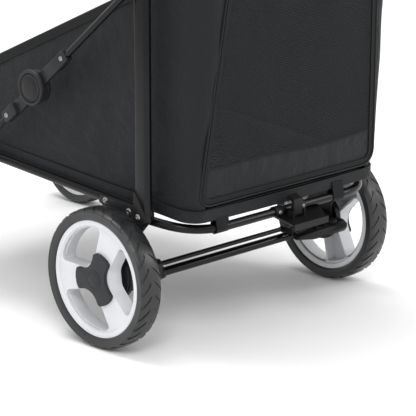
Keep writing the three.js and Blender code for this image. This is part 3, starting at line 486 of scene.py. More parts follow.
class Shape:
    """One mesh on the bench, shaped with Blender's own operators in edit mode."""

    def __init__(self, name: str) -> None:
        """Takes the primitive that was just added, with its place put into its mesh."""
        bpy.ops.object.transform_apply(location=True, rotation=True, scale=True)
        self.obj = bpy.context.object
        self.obj.name = name
        self.obj.data.name = name
        bpy.ops.object.mode_set(mode="EDIT")
        bpy.ops.mesh.select_mode(type="VERT")

    @staticmethod
    def clear() -> None:
        """Leaves edit mode and selects nothing."""
        if bpy.context.mode != "OBJECT":
            bpy.ops.object.mode_set(mode="OBJECT")
        bpy.ops.object.select_all(action="DESELECT")

    @classmethod
    def disc(
        cls, name: str, centre: Vector, axis: Vector, radius: float, sides: int = 24
    ) -> Shape:
        """A filled circle across an axis; centre in metres, radius in millimetres."""
        cls.clear()
        turn = UP.rotation_difference(axis).to_euler()
        bpy.ops.mesh.primitive_circle_add(
            vertices=sides, radius=radius * MM, fill_type="NGON", location=centre, rotation=turn
        )
        return cls(name)

    @classmethod
    def block(cls, name: str, low: Vector, high: Vector) -> Shape:
        """A box between two corners in metres."""
        cls.clear()
        size = high - low
        bpy.ops.mesh.primitive_cube_add(size=1, location=(low + high) / 2, scale=size)
        return cls(name)

    @classmethod
    def traced(cls, name: str, points: Sequence[Vector], filled: bool = True) -> Shape:
        """A line drawn from point to point, closed and filled if asked."""
        cls.clear()
        bpy.ops.mesh.primitive_plane_add(size=MM, location=points[0])
        shape = cls(name)
        bpy.ops.mesh.select_all(action="SELECT")
        bpy.ops.mesh.merge(type="CENTER")
        for here, there in zip(points, points[1:]):
            bpy.ops.mesh.extrude_vertices_move(TRANSFORM_OT_translate={"value": there - here})
        bpy.ops.mesh.select_all(action="SELECT")
        if filled:
            bpy.ops.mesh.edge_face_add()
        return shape

    @classmethod
    def slab(cls, name: str, outline: Sequence[Flat], x0: float, x1: float) -> Shape:
        """An outline of (y, z) points pushed from one X to another."""
        shape = cls.traced(name, [at(x0, y, z) for y, z in outline])
        shape.push(ACROSS * (x1 - x0) * MM)
        return shape.outwards()

    @classmethod
    def turned(
        cls, name: str, profile: Sequence[Vector], centre: Vector, axis: Vector, steps: int
    ) -> Shape:
        """A profile spun right round an axis through a centre."""
        shape = cls.traced(name, profile, filled=False)
        bpy.ops.mesh.spin(steps=steps, angle=TURN, center=centre, axis=axis)
        bpy.ops.mesh.select_all(action="SELECT")
        bpy.ops.mesh.remove_doubles(threshold=MM / 100)
        return shape.outwards()

    @classmethod
    def tube(
        cls, name: str, path: Sequence[Vector], radius: float, sides: int = 20, ring: bool = False
    ) -> Shape:
        """A round bar of a radius in millimetres along a path in metres.

        Args:
            name: The piece's name.
            path: The points that its middle runs through.
            radius: Its radius.
            sides: How many sides its section has.
            ring: True if the path's end joins its start.

        Returns:
            The bar, still on the bench.
        """
        shape = cls.disc(name, path[0], path[1] - path[0], radius, sides)
        shape.along(path)
        if ring:
            bpy.ops.mesh.delete(type="FACE")
            shape.pick(lambda place, facing: (place - path[0]).length < MM / 10)
            bpy.ops.mesh.delete(type="FACE")
            bpy.ops.mesh.select_all(action="SELECT")
            bpy.ops.mesh.remove_doubles(threshold=MM / 5)
        return shape.outwards()

    @classmethod
    def sheet(
        cls,
        name: str,
        counts: tuple[int, int],
        size: Flat,
        surface: Callable[[float, float], Vector],
    ) -> Shape:
        """A cloth grid laid on a surface, with a UV map in metres.

        Args:
            name: The piece's name.
            counts: Faces along and across.
            size: Its length and width in millimetres, which set the UV map.
            surface: The point in metres at two shares from 0 to 1.

        Returns:
            The sheet, still on the bench.
        """
        cls.clear()
        bpy.ops.mesh.primitive_grid_add(x_subdivisions=counts[0], y_subdivisions=counts[1], size=1)
        shape = cls(name)
        bpy.ops.object.mode_set(mode="OBJECT")
        mesh = shape.obj.data
        for vertex in mesh.vertices:
            vertex.co = surface(vertex.co.x + 0.5, vertex.co.y + 0.5)
        for corner in mesh.uv_layers.active.data:
            corner.uv = (corner.uv.x * size[0] * MM, corner.uv.y * size[1] * MM)
        bpy.ops.object.mode_set(mode="EDIT")
        return shape

    def pick(self, test: FaceTest) -> Shape:
        """Selects the faces whose middle and normal pass a test."""
        bpy.ops.mesh.select_mode(type="FACE")
        bpy.ops.mesh.select_all(action="DESELECT")
        faces = bmesh.from_edit_mesh(self.obj.data)
        for face in faces.faces:
            face.select_set(test(face.calc_center_median(), face.normal))
        bmesh.update_edit_mesh(self.obj.data)
        return self

    def push(self, step: Vector) -> Shape:
        """Extrudes the selection by a step in metres."""
        bpy.ops.mesh.extrude_region_move(TRANSFORM_OT_translate={"value": step})
        return self

    def inset(self, border: float, depth: float = 0.0) -> Shape:
        """Insets the selected faces, and sinks or lifts them, in millimetres."""
        bpy.ops.mesh.inset(thickness=border * MM, depth=depth * MM)
        return self

    def turn(self, rotation: Any, centre: Vector) -> Shape:
        """Turns the selection about a point; Blender's operator counts its angles backwards."""
        for angle, axis in zip(rotation.to_euler("XYZ"), "XYZ"):
            if abs(angle) > 1e-7:
                bpy.ops.transform.rotate(value=-angle, orient_axis=axis, center_override=centre)
        return self

    def along(self, path: Sequence[Vector]) -> Shape:
        """Extrudes the selected end face along a path, turned square to it at each point."""
        facing = (path[1] - path[0]).normalized()
        for i in range(1, len(path)):
            step = path[i] - path[i - 1]
            self.push(step)
            ahead = (path[i + 1] - path[i]).normalized() if i + 1 < len(path) else step.normalized()
            wanted = (step.normalized() + ahead).normalized()
            self.turn(facing.rotation_difference(wanted), path[i])
            facing = wanted
        return self

    def scale(self, factors: Flat3, centre: Vector) -> Shape:
        """Scales the selection about a point."""
        bpy.ops.transform.resize(value=factors, center_override=centre)
        return self

    def flip(self) -> Shape:
        """Turns every face the other way round."""
        bpy.ops.mesh.select_all(action="SELECT")
        bpy.ops.mesh.flip_normals()
        return self

    def outwards(self) -> Shape:
        """Turns every face outwards."""
        bpy.ops.mesh.select_all(action="SELECT")
        bpy.ops.mesh.normals_make_consistent(inside=False)
        return self

    def apply(self, kind: str, **settings: Any) -> Shape:
        """Adds a modifier and applies it."""
        self.clear()
        bpy.context.view_layer.objects.active = self.obj
        self.obj.select_set(True)
        modifier = self.obj.modifiers.new(kind.lower(), kind)
        for key, setting in settings.items():
            setattr(modifier, key, setting)
        bpy.ops.object.modifier_apply(modifier=modifier.name)
        bpy.ops.object.mode_set(mode="EDIT")
        return self

    def round(self, width: float, segments: int = 2, angle: float = 35) -> Shape:
        """Rounds the edges that turn by more than an angle in degrees."""
        settings = {"width": width * MM, "segments": segments, "limit_method": "ANGLE"}
        return self.apply("BEVEL", angle_limit=math.radians(angle), **settings)

    def thicken(self, thickness: float) -> Shape:
        """Gives a sheet its thickness, inwards, in millimetres."""
        return self.apply("SOLIDIFY", thickness=thickness * MM, offset=-1, use_even_offset=False)

    def cut(self, *others: Shape) -> Shape:
        """Cuts other shapes out of this one, and uses them up."""
        for other in others:
            other.clear()
            self.apply("BOOLEAN", operation="DIFFERENCE", solver="EXACT", object=other.obj)
            bpy.data.objects.remove(other.obj)
        return self

    def add(self, *others: Shape) -> Shape:
        """Joins other meshes to this one."""
        self.clear()
        for shape in (*others, self):
            shape.obj.select_set(True)
        bpy.context.view_layer.objects.active = self.obj
        bpy.ops.object.join()
        bpy.ops.object.mode_set(mode="EDIT")
        return self

    def copy(self, name: str, change: Matrix) -> Shape:
        """A copy with its own mesh, moved, turned or mirrored."""
        self.clear()
        self.obj.select_set(True)
        bpy.context.view_layer.objects.active = self.obj
        bpy.ops.object.duplicate(linked=False)
        bpy.context.object.data.transform(change)
        twin = Shape(name)
        if change.determinant() < 0:
            twin.flip()
        return twin

    def drop(self) -> None:
        """Removes a shape that was only a pattern."""
        self.clear()
        bpy.data.objects.remove(self.obj)

    def done(
        self,
        finish: Finish,
        body: str,
        replaces: Sequence[str] = (),
        smooth: float = SHARP,
    ) -> bpy.types.Object:
        """Finishes a piece: shading, material, the body it rides on and what it stands for.

        Args:
            finish: Its finish.
            body: The frame's body that carries it.
            replaces: The plain solids that it stands for.
            smooth: The angle in degrees over which an edge stays sharp.

        Returns:
            The piece's object.
        """
        self.clear()
        bpy.context.view_layer.objects.active = self.obj
        self.obj.select_set(True)
        bpy.ops.object.shade_smooth_by_angle(angle=math.radians(smooth))
        self.obj.data.materials.clear()
        self.obj.data.materials.append(finish.material())
        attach(self.obj, body)
        if replaces:
            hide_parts(*replaces)
        LOG.info("made %s on %s", self.obj.name, body)
        return self.obj


class Side(Enum):
    """A side of the stroller, with the sign of its X."""

    LEFT = 1
    RIGHT = -1

    @property
    def tag(self) -> str:
        """The side's name in the frame."""
        return self.name.lower()

    @property
    def change(self) -> Matrix:
        """What turns a left-hand shape into this side's."""
        return Matrix.Identity(4) if self is Side.LEFT else MIRROR


def both(
    pattern: Shape,
    name: str,
    finish: Finish,
    body: str,
    replaces: Sequence[str] = (),
    smooth: float = SHARP,
) -> list[bpy.types.Object]:
    """Copies a left-hand pattern to both sides; {} in each name becomes the side's."""
    made = []
    for side in Side:
        twin = pattern.copy(name.format(side.tag), side.change)
        stood = [node.format(side.tag) for node in replaces]
        made.append(twin.done(finish, body.format(side.tag), stood, smooth))
    pattern.drop()
    return made


def rivet(name: str, head: Vector, axis: Vector, radius: float, height: float = 1.6) -> Shape:
    """A domed rivet head with a dimple in its top, standing on a surface."""
    across = axis.orthogonal().normalized() * radius * MM
    lift = axis.normalized() * MM
    profile = [
        head - lift * 1.0 + across,
        head + lift * 0.25 * height + across,
        head + lift * 0.75 * height + across * 0.8,
        head + lift * height + across * 0.45,
        head + lift * 0.85 * height + across * 0.28,
        head + lift * 0.55 * height + across * 0.2,
        head + lift * 0.5 * height,
    ]
    return Shape.turned(name, profile, head, axis, 20)


def wear(node: str, finish: Finish, bevel: float = 1.2) -> None:
    """Gives a frame node that keeps its shape softened edges and a finish."""
    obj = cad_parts[node]
    weld = obj.modifiers.new("weld", "WELD")
    weld.merge_threshold = MM / 100
    edge = obj.modifiers.new("edge", "BEVEL")
    edge.width = bevel * MM
    edge.segments = 2
    edge.limit_method = "ANGLE"
    edge.angle_limit = math.radians(40)
    obj.data.materials.clear()
    obj.data.materials.append(finish.material())
    LOG.info("dressed %s", node)


# ---------------------------------------------------------------- wheels


@dataclass
class Wheel:
    """A three-spoked wheel, modelled round the X axis at the origin, outer face to +X.

    Attributes:
        end: Which end of the stroller it is for.
        radius: The tyre's outer radius.
        width: The tyre's width.
        rim: The rim's outer radius.
        reach: How far the hub cap's lobes reach.
        bore: The hub's inner radius.
        grooves: How many grooves the tread has on each side.
        first_spoke: The angle of a spoke on the left and on the right wheel.
        slant: How far the tread turns round the axle for each millimetre across it.
        groove_depth: How deep the grooves are.
        hub: The hub's outer radius.
        cap_thick: The hub cap's thickness, without its dome.
        drawn_rim: The rim radius that the windows are drawn for.
    """

    end: str
    radius: float
    width: float
    rim: float
    reach: float
    bore: float
    grooves: int
    first_spoke: Flat = (67.0, 49.0)
    slant: float = 0.0085
    groove_depth: float = 1.5
    hub: float = 26.0
    cap_thick: float = 8.6
    drawn_rim: float = 106.0

    def point(self, radius: float, x: float, skew: float = 0.0) -> Vector:
        """A profile point in metres, turned a little round the axle if skewed."""
        return Vector((x, radius * math.sin(skew), radius * math.cos(skew))) * MM

    def tyre(self) -> Shape:
        """Smooth walls, a rib at the shoulder and slanting grooves in the tread."""
        half = self.width / 2
        deep = self.radius - self.rim
        tread = [
            (self.rim + 0.68 * deep, half),
            (self.rim + 0.74 * deep, half - 1.3),
            (self.rim + 0.86 * deep, 0.85 * half),
            (self.rim + 0.93 * deep, 0.72 * half),
            (self.rim + 0.965 * deep, 0.56 * half),
            (self.rim + 0.985 * deep, 0.4 * half),
            (self.radius, 0.2 * half),
            (self.radius, 0.0),
        ]
        wall = [
            (self.rim - 1.5, 0.0),
            (self.rim - 1.5, 0.72 * half),
            (self.rim - 0.8, 0.86 * half),
            (self.rim + 0.08 * deep, 0.93 * half),
            (self.rim + 0.3 * deep, half - 0.5),
            (self.rim + 0.6 * deep, half - 0.5),
        ]
        outer = wall + tread
        inner = [(r, -x) for r, x in reversed(outer[:-1])]
        skewed = [self.point(r, x, self.slant * abs(x)) for r, x in outer + inner]
        shape = Shape.turned(f"{self.end}_tyre", skewed, Vector(), ACROSS, 4 * self.grooves)
        pitch = TURN / self.grooves

        def in_groove(place: Vector, facing: Vector) -> bool:
            """True for tread faces in every fourth column, off the centre line."""
            radius = math.hypot(place.y, place.z)
            own = math.atan2(place.y, place.z) - self.slant * abs(place.x) / MM
            share = (own / pitch) % 1
            beside = 0.14 * half < abs(place.x) / MM < 0.95 * half
            return beside and radius > (self.rim + 0.7 * deep) * MM and share < 0.27

        shape.pick(in_groove)
        bpy.ops.mesh.extrude_region_shrink_fatten(
            TRANSFORM_OT_shrink_fatten={
                "value": -self.groove_depth * MM,
                "use_even_offset": False,
            }
        )
        return shape

    def window(self, turn: float) -> Shape:
        """A cutter for the opening between two spokes, its middle at an angle in degrees."""
        scale = self.rim / self.drawn_rim
        half = [
            (0.0, 30.5),
            (10.0, 30.8),
            (20.0, 32.6),
            (27.0, 36.5),
            (32.0, 43.0),
            (35.5, 52.0),
            (38.5, 63.0),
            (41.0, 76.0),
            (42.0, 84.0),
            (41.0, 88.5),
            (38.0, 91.6),
            (34.0, 92.6),
            (24.0, 92.8),
            (12.0, 92.8),
            (0.0, 92.8),
        ]
        outline = half + [(-angle, radius) for angle, radius in reversed(half[1:-1])]
        points = []
        for angle, radius in outline:
            around = math.radians(angle + turn)
            flat = Vector((0, math.cos(around), math.sin(around)))
            points.append((flat * radius * scale - ACROSS * self.width) * MM)
        shape = Shape.traced("window", points)
        shape.push(ACROSS * 2 * self.width * MM)
        return shape.outwards()

    def rim_shape(self, start: float) -> Shape:
        """A deep rim: a lipped barrel, hollow-backed spokes and a hub."""
        half = 0.4 * self.width
        well = self.rim - 0.3
        barrel = self.rim - 11
        face = half - 3.2
        back = -half + 5
        profile = [
            (self.bore, face),
            (self.hub, face),
            (barrel - 6, face - 0.6),
            (barrel - 1.5, face),
            (barrel, half - 0.6),
            (barrel + 2, half),
            (well - 2.0, half),
            (well - 0.4, half - 1.6),
            (well - 1.9, half - 4.0),
            (well - 1.9, -half + 4.0),
            (well - 0.4, -half + 1.6),
            (well - 2.0, -half),
            (barrel + 1, -half),
            (barrel, -half + 1),
            (barrel - 0.5, back),
            (self.hub, back),
            (self.hub - 1.5, -half),
            (self.bore, -half),
            (self.bore, face),
        ]
        points = [self.point(r, x) for r, x in profile]
        shape = Shape.turned(f"{self.end}_rim", points, Vector(), ACROSS, 72)
        shape.cut(*(self.window(start + 60 + 120 * i) for i in range(3)))

        def on_spoke_back(place: Vector, facing: Vector) -> bool:
            """True for the flat backs of the spokes."""
            return facing.x < -0.99 and abs(place.x / MM - back) < 0.3

        shape.pick(on_spoke_back)
        shape.inset(3.4)
        shape.push(ACROSS * (face - back - 7) * MM)
        return shape.round(0.9, 2, 50)

    def cap_shape(self, start: float) -> Shape:
        """The three-lobed cap with a domed middle."""
        half = [(0, 1.0), (12, 1.0), (21.5, 0.985), (25, 0.945), (26.8, 0.88)]
        half += [(31, 0.73), (38, 0.625), (48, 0.555), (60, 0.535)]
        outline = [(-a, r) for a, r in reversed(half[1:])] + list(half[:-1])
        x0 = 0.4 * self.width - 4
        points = []
        for lobe in range(3):
            for angle, share in outline:
                around = math.radians(start + 120 * lobe + angle)
                radius = self.reach * share
                spot = Vector((x0, radius * math.cos(around), radius * math.sin(around)))
                points.append(spot * MM)
        shape = Shape.traced(f"{self.end}_cap", points)
        shape.push(ACROSS * self.cap_thick * MM)
        shape.outwards().round(1.3, 3, 50)
        top = x0 + self.cap_thick
        dome = [
            (0.36, top - 2),
            (0.36, top + 0.5),
            (0.335, top + 1.1),
            (0.31, top + 0.6),
            (0.285, top + 0.6),
            (0.26, top + 1.6),
            (0.18, top + 2.7),
            (0.09, top + 3.2),
            (0.0, top + 3.4),
        ]
        points = [self.point(self.reach * r, x) for r, x in dome]
        return shape.add(Shape.turned("dome", points, Vector(), ACROSS, 32))

    def build(self) -> None:
        """Places both sides' wheels at the centres of the frame's tyres."""
        tyre = self.tyre()
        for side, start in zip(Side, self.first_spoke):
            tag = f"{self.end}_{side.tag}"
            body = f"{self.end}_wheel_{side.tag}"
            place = Matrix.Translation(middle(f"{tag}_tyre")) @ side.change
            pieces = (
                (tyre, "tyre", TYRE, "tyre"),
                (self.rim_shape(start), "rim", WHITE, "rim"),
                (self.cap_shape(start), "cap", CAP, "hubcap"),
            )
            for pattern, name, finish, node in pieces:
                twin = pattern.copy(f"{tag}_{name}_fine", place)
                twin.done(finish, body, [f"{tag}_{node}"])
                if pattern is not tyre:
                    pattern.drop()
        tyre.drop()


# ---------------------------------------------------------------- rear axle and brake


@dataclass
class RearAxle:
    """The axle tube, the brake's cross rod, their housings, plates and the pedal.

    Attributes:
        axle: The axle tube's middle, as (y, z).
        rod: The brake rod's middle, as (y, z).
        rod_radius: The brake rod's radius.
        inner: The X that a housing starts from.
        taper: The length over which it widens.
        outer: The X that it ends at.
        stub_end: The X that its stub for the wheel ends at.
        wheel_z: Height of the wheels' middle.
        foot_x: The two X of the pedal's full part.
        toe: How far the pedal narrows on from there.
        arms_x: Where the pedal's arms start.
        arm_wide: Their width.
        boss_x: The round boss's middle.
        first_rib: Where the first of the pedal's ribs starts.
        rib_pitch: The step from rib to rib.
    """

    axle: Flat = (20.0, 112.0)
    rod: Flat = (20.0, 128.5)
    rod_radius: float = 4.25
    inner: float = 178.0
    taper: float = 26.0
    outer: float = 252.0
    stub_end: float = 309.0
    wheel_z: float = 125.0
    foot_x: Flat = (-255.5, -176.0)
    toe: float = 43.0
    arms_x: Flat = (-171.0, -141.0)
    arm_wide: float = 7.0
    boss_x: float = -226.0
    first_rib: float = -244.0
    rib_pitch: float = 22.0

    def tubes(self) -> None:
        """The axle tube and the thinner rod over it, with a pawl at each of its ends."""
        end = self.inner + self.taper - 1
        path = [at(x, *self.axle) for x in (-end, end)]
        tube = Shape.tube("axle_tube_fine", path, TUBE_RADIUS, 32)
        tube.done(TUBE, "frame", ["axle_tube"])
        reach = plan_box("brake_rod")[1][0] - 0.2
        path = [at(x, *self.rod) for x in (-reach, reach)]
        rod = Shape.tube("brake_rod_fine", path, self.rod_radius, 24)
        for sign in (-1, 1):
            y, z = self.rod
            outline = [(y - 3, z + 1), (y + 3, z - 1), (y + 4.5, z + 8), (y + 2.2, z + 8.6)]
            pawl = Shape.slab("pawl", outline, sign * (reach - 4.6), sign * (reach - 0.2))
            rod.add(pawl.round(0.4))
        rod.done(TUBE, "brake", ["brake_rod"])

    def housings(self) -> None:
        """Tapering housings that hold the axle's ends, with ribs and a collar."""
        low, high = plan_box("axle_housing_left")
        y0, y1 = low[1], high[1]
        outline = [(y0, 108), (y0 + 8, 98.5), (y1 - 8, 96), (y1, 104), (y1, 134), (y1 - 8, 142)]
        outline += [(y0 + 6, 142), (y0, 136)]
        shape = Shape.slab("housing", outline, self.inner + self.taper, self.outer)
        shape.pick(lambda place, facing: facing.x < -0.9)
        shape.push(-ACROSS * self.taper * MM)
        shape.scale((1, 0.78, 0.86), at(self.inner, 18, 119))
        full = (self.inner + self.taper) * MM
        shape.pick(lambda place, facing: facing.y > 0.9 and place.x > full)
        shape.inset(4, -1.6)
        shape.round(2.4, 3, 30)
        ends = [at(x, *self.axle) for x in (self.inner - 8, self.inner + 4)]
        shape.add(Shape.tube("collar", ends, 11.5, 28).round(1.2))
        ends = [at(x, 0, self.wheel_z) for x in (self.outer - 2, self.stub_end)]
        shape.add(Shape.tube("stub", ends, 5, 20))
        both(shape, "axle_housing_{}_fine", BLACK, "frame", ["axle_housing_{}"])

    def pedal(self) -> None:
        """A long wedge of a foot pedal on two arms, with a round boss."""
        y, z = self.rod
        outline = [(y + 24, z - 10), (y + 29, z - 17), (y + 38, z - 21), (y + 48, z - 18)]
        outline += [(y + 54, z - 10), (y + 54, z - 2), (y + 44, z + 4), (y + 30, z + 5)]
        outline += [(y + 24, z + 1)]
        shape = Shape.slab("brake_pedal_fine", outline, *self.foot_x)
        shape.pick(lambda place, facing: facing.x > 0.9)
        shape.push(ACROSS * self.toe * MM)
        shape.scale((1, 0.55, 0.4), at(self.foot_x[1] + self.toe, y + 36, z - 9))
        shape.round(2.6, 3, 25)
        arm = [(y - 7, z + 2), (y - 2, z + 7), (y + 8, z + 6), (y + 30, z + 2), (y + 30, z - 7)]
        arm += [(y + 6, z - 4), (y, z - 7), (y - 6, z - 4)]
        for x in self.arms_x:
            shape.add(Shape.slab("arm", arm, x, x + self.arm_wide).round(1.2))
        boss = [at(self.boss_x, y + 40, z + 2), at(self.boss_x, y + 40, z + 9)]
        shape.add(Shape.tube("boss", boss, 10.5, 28).round(1.4, 3))
        for step in range(4):
            x = self.first_rib + self.rib_pitch * step
            rib = Shape.block("rib", at(x, y + 30, z + 3.6), at(x + 3, y + 52, z + 5.8))
            shape.add(rib.round(0.6))
        shape.done(BLACK, "brake", ["brake_pedal"])

    def build(self) -> None:
        """Builds the axle's pieces and dresses the plates and brake rings."""
        self.tubes()
        self.housings()
        self.pedal()
        for side in Side:
            wear(f"gusset_plate_{side.tag}", GREY, 0.8)
            wear(f"rear_{side.tag}_brake_ring", BLACK, 0.5)
        for spot in ((-33, 249.5), (26, 241)):
            head = rivet("gusset_rivet", at(255.2, *spot), ACROSS, 6.2, 2.6)
            both(head, f"gusset_rivet_{spot[0]}_{{}}".replace("-", "m"), RIVET, "frame")


# ---------------------------------------------------------------- lower frame


@dataclass
class LowerFrame:
    """Side tubes, the rear U tube with its plate, the front cross tube and strut feet.

    Attributes:
        side_x: The left side tube's middle.
        side_y: The depths that a side tube is drawn through.
        side_height: Height of its middle over the rear axle.
        rise: How fast it rises towards the front.
        bend: The radius of the rear tube's corners.
    """

    side_x: float = 244.0
    side_y: Flat3 = (-711.5, -330.0, 34.0)
    side_height: float = 247.0
    rise: float = 0.07
    bend: float = 94.0

    def side_z(self, y: float) -> float:
        """Height of a side tube's middle; it falls towards the rear."""
        return self.side_height - self.rise * y

    def side_tubes(self) -> None:
        """Both side tubes, with end plugs at their rear."""
        path = [at(self.side_x, y, self.side_z(y)) for y in self.side_y]
        shape = Shape.tube("side", path, TUBE_RADIUS, 28)
        shape.pick(lambda place, facing: facing.y > 0.9)
        shape.inset(1.6, -2.5)
        both(shape, "side_tube_{}_fine", TUBE, "frame", ["side_tube_{}"])

    def rear_tube(self) -> None:
        """The U-shaped tube behind the bag, its bends round."""
        rear_y, rear_z = rear_bar()
        bend = self.bend
        side = [at(self.side_x, y, z) for y, z in ((50, 232.5), (60, 232))]
        corner = []
        for x, y in arc((self.side_x - bend, rear_y - bend), bend, 0, 90, 14):
            share = (y - rear_y + bend) / bend
            corner.append(at(x, y, blend(231.5, rear_z, ease(share))))
        half = side + corner
        path = half + [MIRROR @ point for point in reversed(half)]
        shape = Shape.tube("rear_u_tube_fine", path, TUBE_RADIUS, 28)
        shape.done(TUBE, "frame", ["rear_u_tube"])

    def clips(self) -> None:
        """The saddles that hold the plate to the U tube, and their rivets."""
        y, z = rear_bar()
        for tag, x in (("left", 27), ("right", -31)):
            outline = arc((y, z), 10.4, -30, 210, 16) + arc((y, z), 8.2, 210, -30, 16)
            saddle = Shape.slab(f"tube_saddle_{tag}", outline, x - 9, x + 9).round(0.5)
            saddle.done(BLACK, "frame")
            head = rivet(f"saddle_rivet_{tag}", at(x, y + 10, z + 1), REARWARD, 4.2, 2.2)
            head.done(RIVET, "frame")

    def build(self) -> None:
        """Builds the tubes, and dresses the plates, brackets and feet."""
        self.side_tubes()
        self.rear_tube()
        self.clips()
        low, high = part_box("front_cross_tube")
        spot = middle("front_cross_tube")
        path = [Vector((x, spot.y, spot.z)) for x in (low.x, high.x)]
        cross = Shape.tube("front_cross_tube_fine", path, TUBE_RADIUS, 28)
        cross.done(TUBE, "frame", ["front_cross_tube"])
        for node in ("latch_plate", "latch_hook", "floor_board"):
            wear(node, BLACK, 1.0)
        for side in Side:
            wear(f"strut_foot_{side.tag}", GREY, 0.8)
            wear(f"caster_bracket_{side.tag}", BLACK, 2.0)
            wear(f"caster_fork_{side.tag}", BLACK, 1.5)
            wear(f"swivel_lock_{side.tag}", CAP, 1.0)


# ---------------------------------------------------------------- uprights and handle


@dataclass
class Handle:
    """Oval uprights, their collars and pivots, the handle tube and its grip.

    Attributes:
        x: The left upright's middle.
        y: Its middle's depth.
        wide: Its section across.
        deep: Its section from front to rear.
        foot: Height of its foot.
        top: Height of its top.
        bar_top: The grip's middle, as (y, z).
        lean_z: Height at which the handle starts to lean back.
        lean_bend: The radius of that bend.
        corner: The radius of the handle's top corners.
        grip_half: Half the grip's length.
        grip_ribs: How many ribs the grip has.
    """

    x: float = 264.0
    y: float = 73.0
    wide: float = 16.0
    deep: float = 34.0
    foot: float = 236.0
    top: float = 700.0
    bar_top: Flat = (235.0, 1030.0)
    lean_z: float = 740.0
    lean_bend: float = 110.0
    corner: float = 58.0
    grip_half: float = 150.0
    grip_ribs: int = 30

    def oval(self, grow: float, z: float) -> list[Vector]:
        """The section of an upright, or of a sleeve that is larger all round."""
        radius = self.wide / 2 + grow
        offset = self.deep / 2 - self.wide / 2
        rear = arc((self.x, self.y + offset), radius, 0, 180, 12)
        front = arc((self.x, self.y - offset), radius, 180, 360, 12)
        return [at(x, y, z) for x, y in rear + front]

    def sleeve(self, name: str, grow: float, z0: float, z1: float) -> Shape:
        """An oval column between two heights."""
        shape = Shape.traced(name, self.oval(grow, z0))
        shape.push(UP * (z1 - z0) * MM)
        return shape.outwards()

    def uprights(self) -> None:
        """The uprights, the covers of their pivots and the collars at their tops."""
        pattern = self.sleeve("upright", 0, self.foot, self.top).round(0.8, 2, 50)
        both(pattern, "upright_{}_fine", TUBE, "handle", ["upright_{}"], SHARP_CLOTH)
        collar = self.sleeve("collar", 2.2, self.top - 26, self.top + 7).round(2.2, 3, 50)
        both(collar, "upright_collar_{}", BLACK, "handle", (), SHARP_TAPE)
        outline = [(57, 287), (62, 284), (77, 262), (86, 248), (87, 238), (80, 233), (66, 233)]
        outline += [(57, 240), (56, 262)]
        x = self.x + self.wide / 2
        cover = Shape.slab("pivot_cover", outline, x - 2, x + 1.4).round(0.9, 2)
        both(cover, "pivot_cover_{}", BLACK, "handle")
        head = rivet("pivot_rivet", at(x + 1.3, 68, 243), ACROSS, 5.6, 2.4)
        both(head, "pivot_rivet_{}", RIVET, "handle")

    def path(self) -> list[Vector]:
        """The handle tube's middle: up, leaning back and across."""
        top_y, top_z = self.bar_top
        lean = math.atan2(top_y - self.y, top_z - self.lean_z)
        points = [at(self.x, self.y, self.top + 0.4), at(self.x, self.y, 706)]
        bend, corner = self.lean_bend, self.corner
        start_z = self.lean_z - bend * math.tan(lean / 2)
        for i in range(9):
            turn = lean * i / 8
            y = self.y + bend * (1 - math.cos(turn))
            points.append(at(self.x, y, start_z + bend * math.sin(turn)))
        up = Vector((0, math.sin(lean), math.cos(lean)))
        elbow = at(self.x, top_y, top_z) - up * corner * MM
        for i in range(11):
            turn = math.radians(90) * i / 10
            inward = -ACROSS * corner * (1 - math.cos(turn)) * MM
            points.append(elbow + inward + up * corner * math.sin(turn) * MM)
        return points + [MIRROR @ point for point in reversed(points)]

    def build(self) -> None:
        """Builds the uprights, the handle and its ribbed grip."""
        self.uprights()
        bar = Shape.tube("handle_bar_fine", self.path(), TUBE_RADIUS, 24)
        bar.done(TUBE, "handle", ["handle_bar"])
        profile = [(-self.grip_half, 10), (-self.grip_half, 14)]
        ribbed = self.grip_half - 3
        step = 2 * ribbed / self.grip_ribs
        for i in range(self.grip_ribs):
            x = -ribbed + 2 * ribbed * i / self.grip_ribs
            profile += [(x, 14.6), (x + 0.3 * step, 15.0), (x + 0.7 * step, 15.0)]
            profile += [(x + step, 14.6)]
        profile += [(self.grip_half, 14), (self.grip_half, 10)]
        centre = at(0, *self.bar_top)
        points = [centre + (ACROSS * x + UP * r) * MM for x, r in profile]
        grip = Shape.turned("handle_grip_fine", points, centre, ACROSS, 40)
        grip.done(FOAM, "handle", ["handle_grip"], SHARP_CLOTH)
        for side in (Side.RIGHT, Side.LEFT):
            outward = ACROSS * side.value
            ends = [centre + outward * (self.grip_half + x) * MM for x in (0.4, 5)]
            ring = Shape.tube(f"grip_end_{side.tag}", ends, 13.4, 32).round(1.0, 2)
            ring.done(BLACK, "handle")


# ---------------------------------------------------------------- folding struts


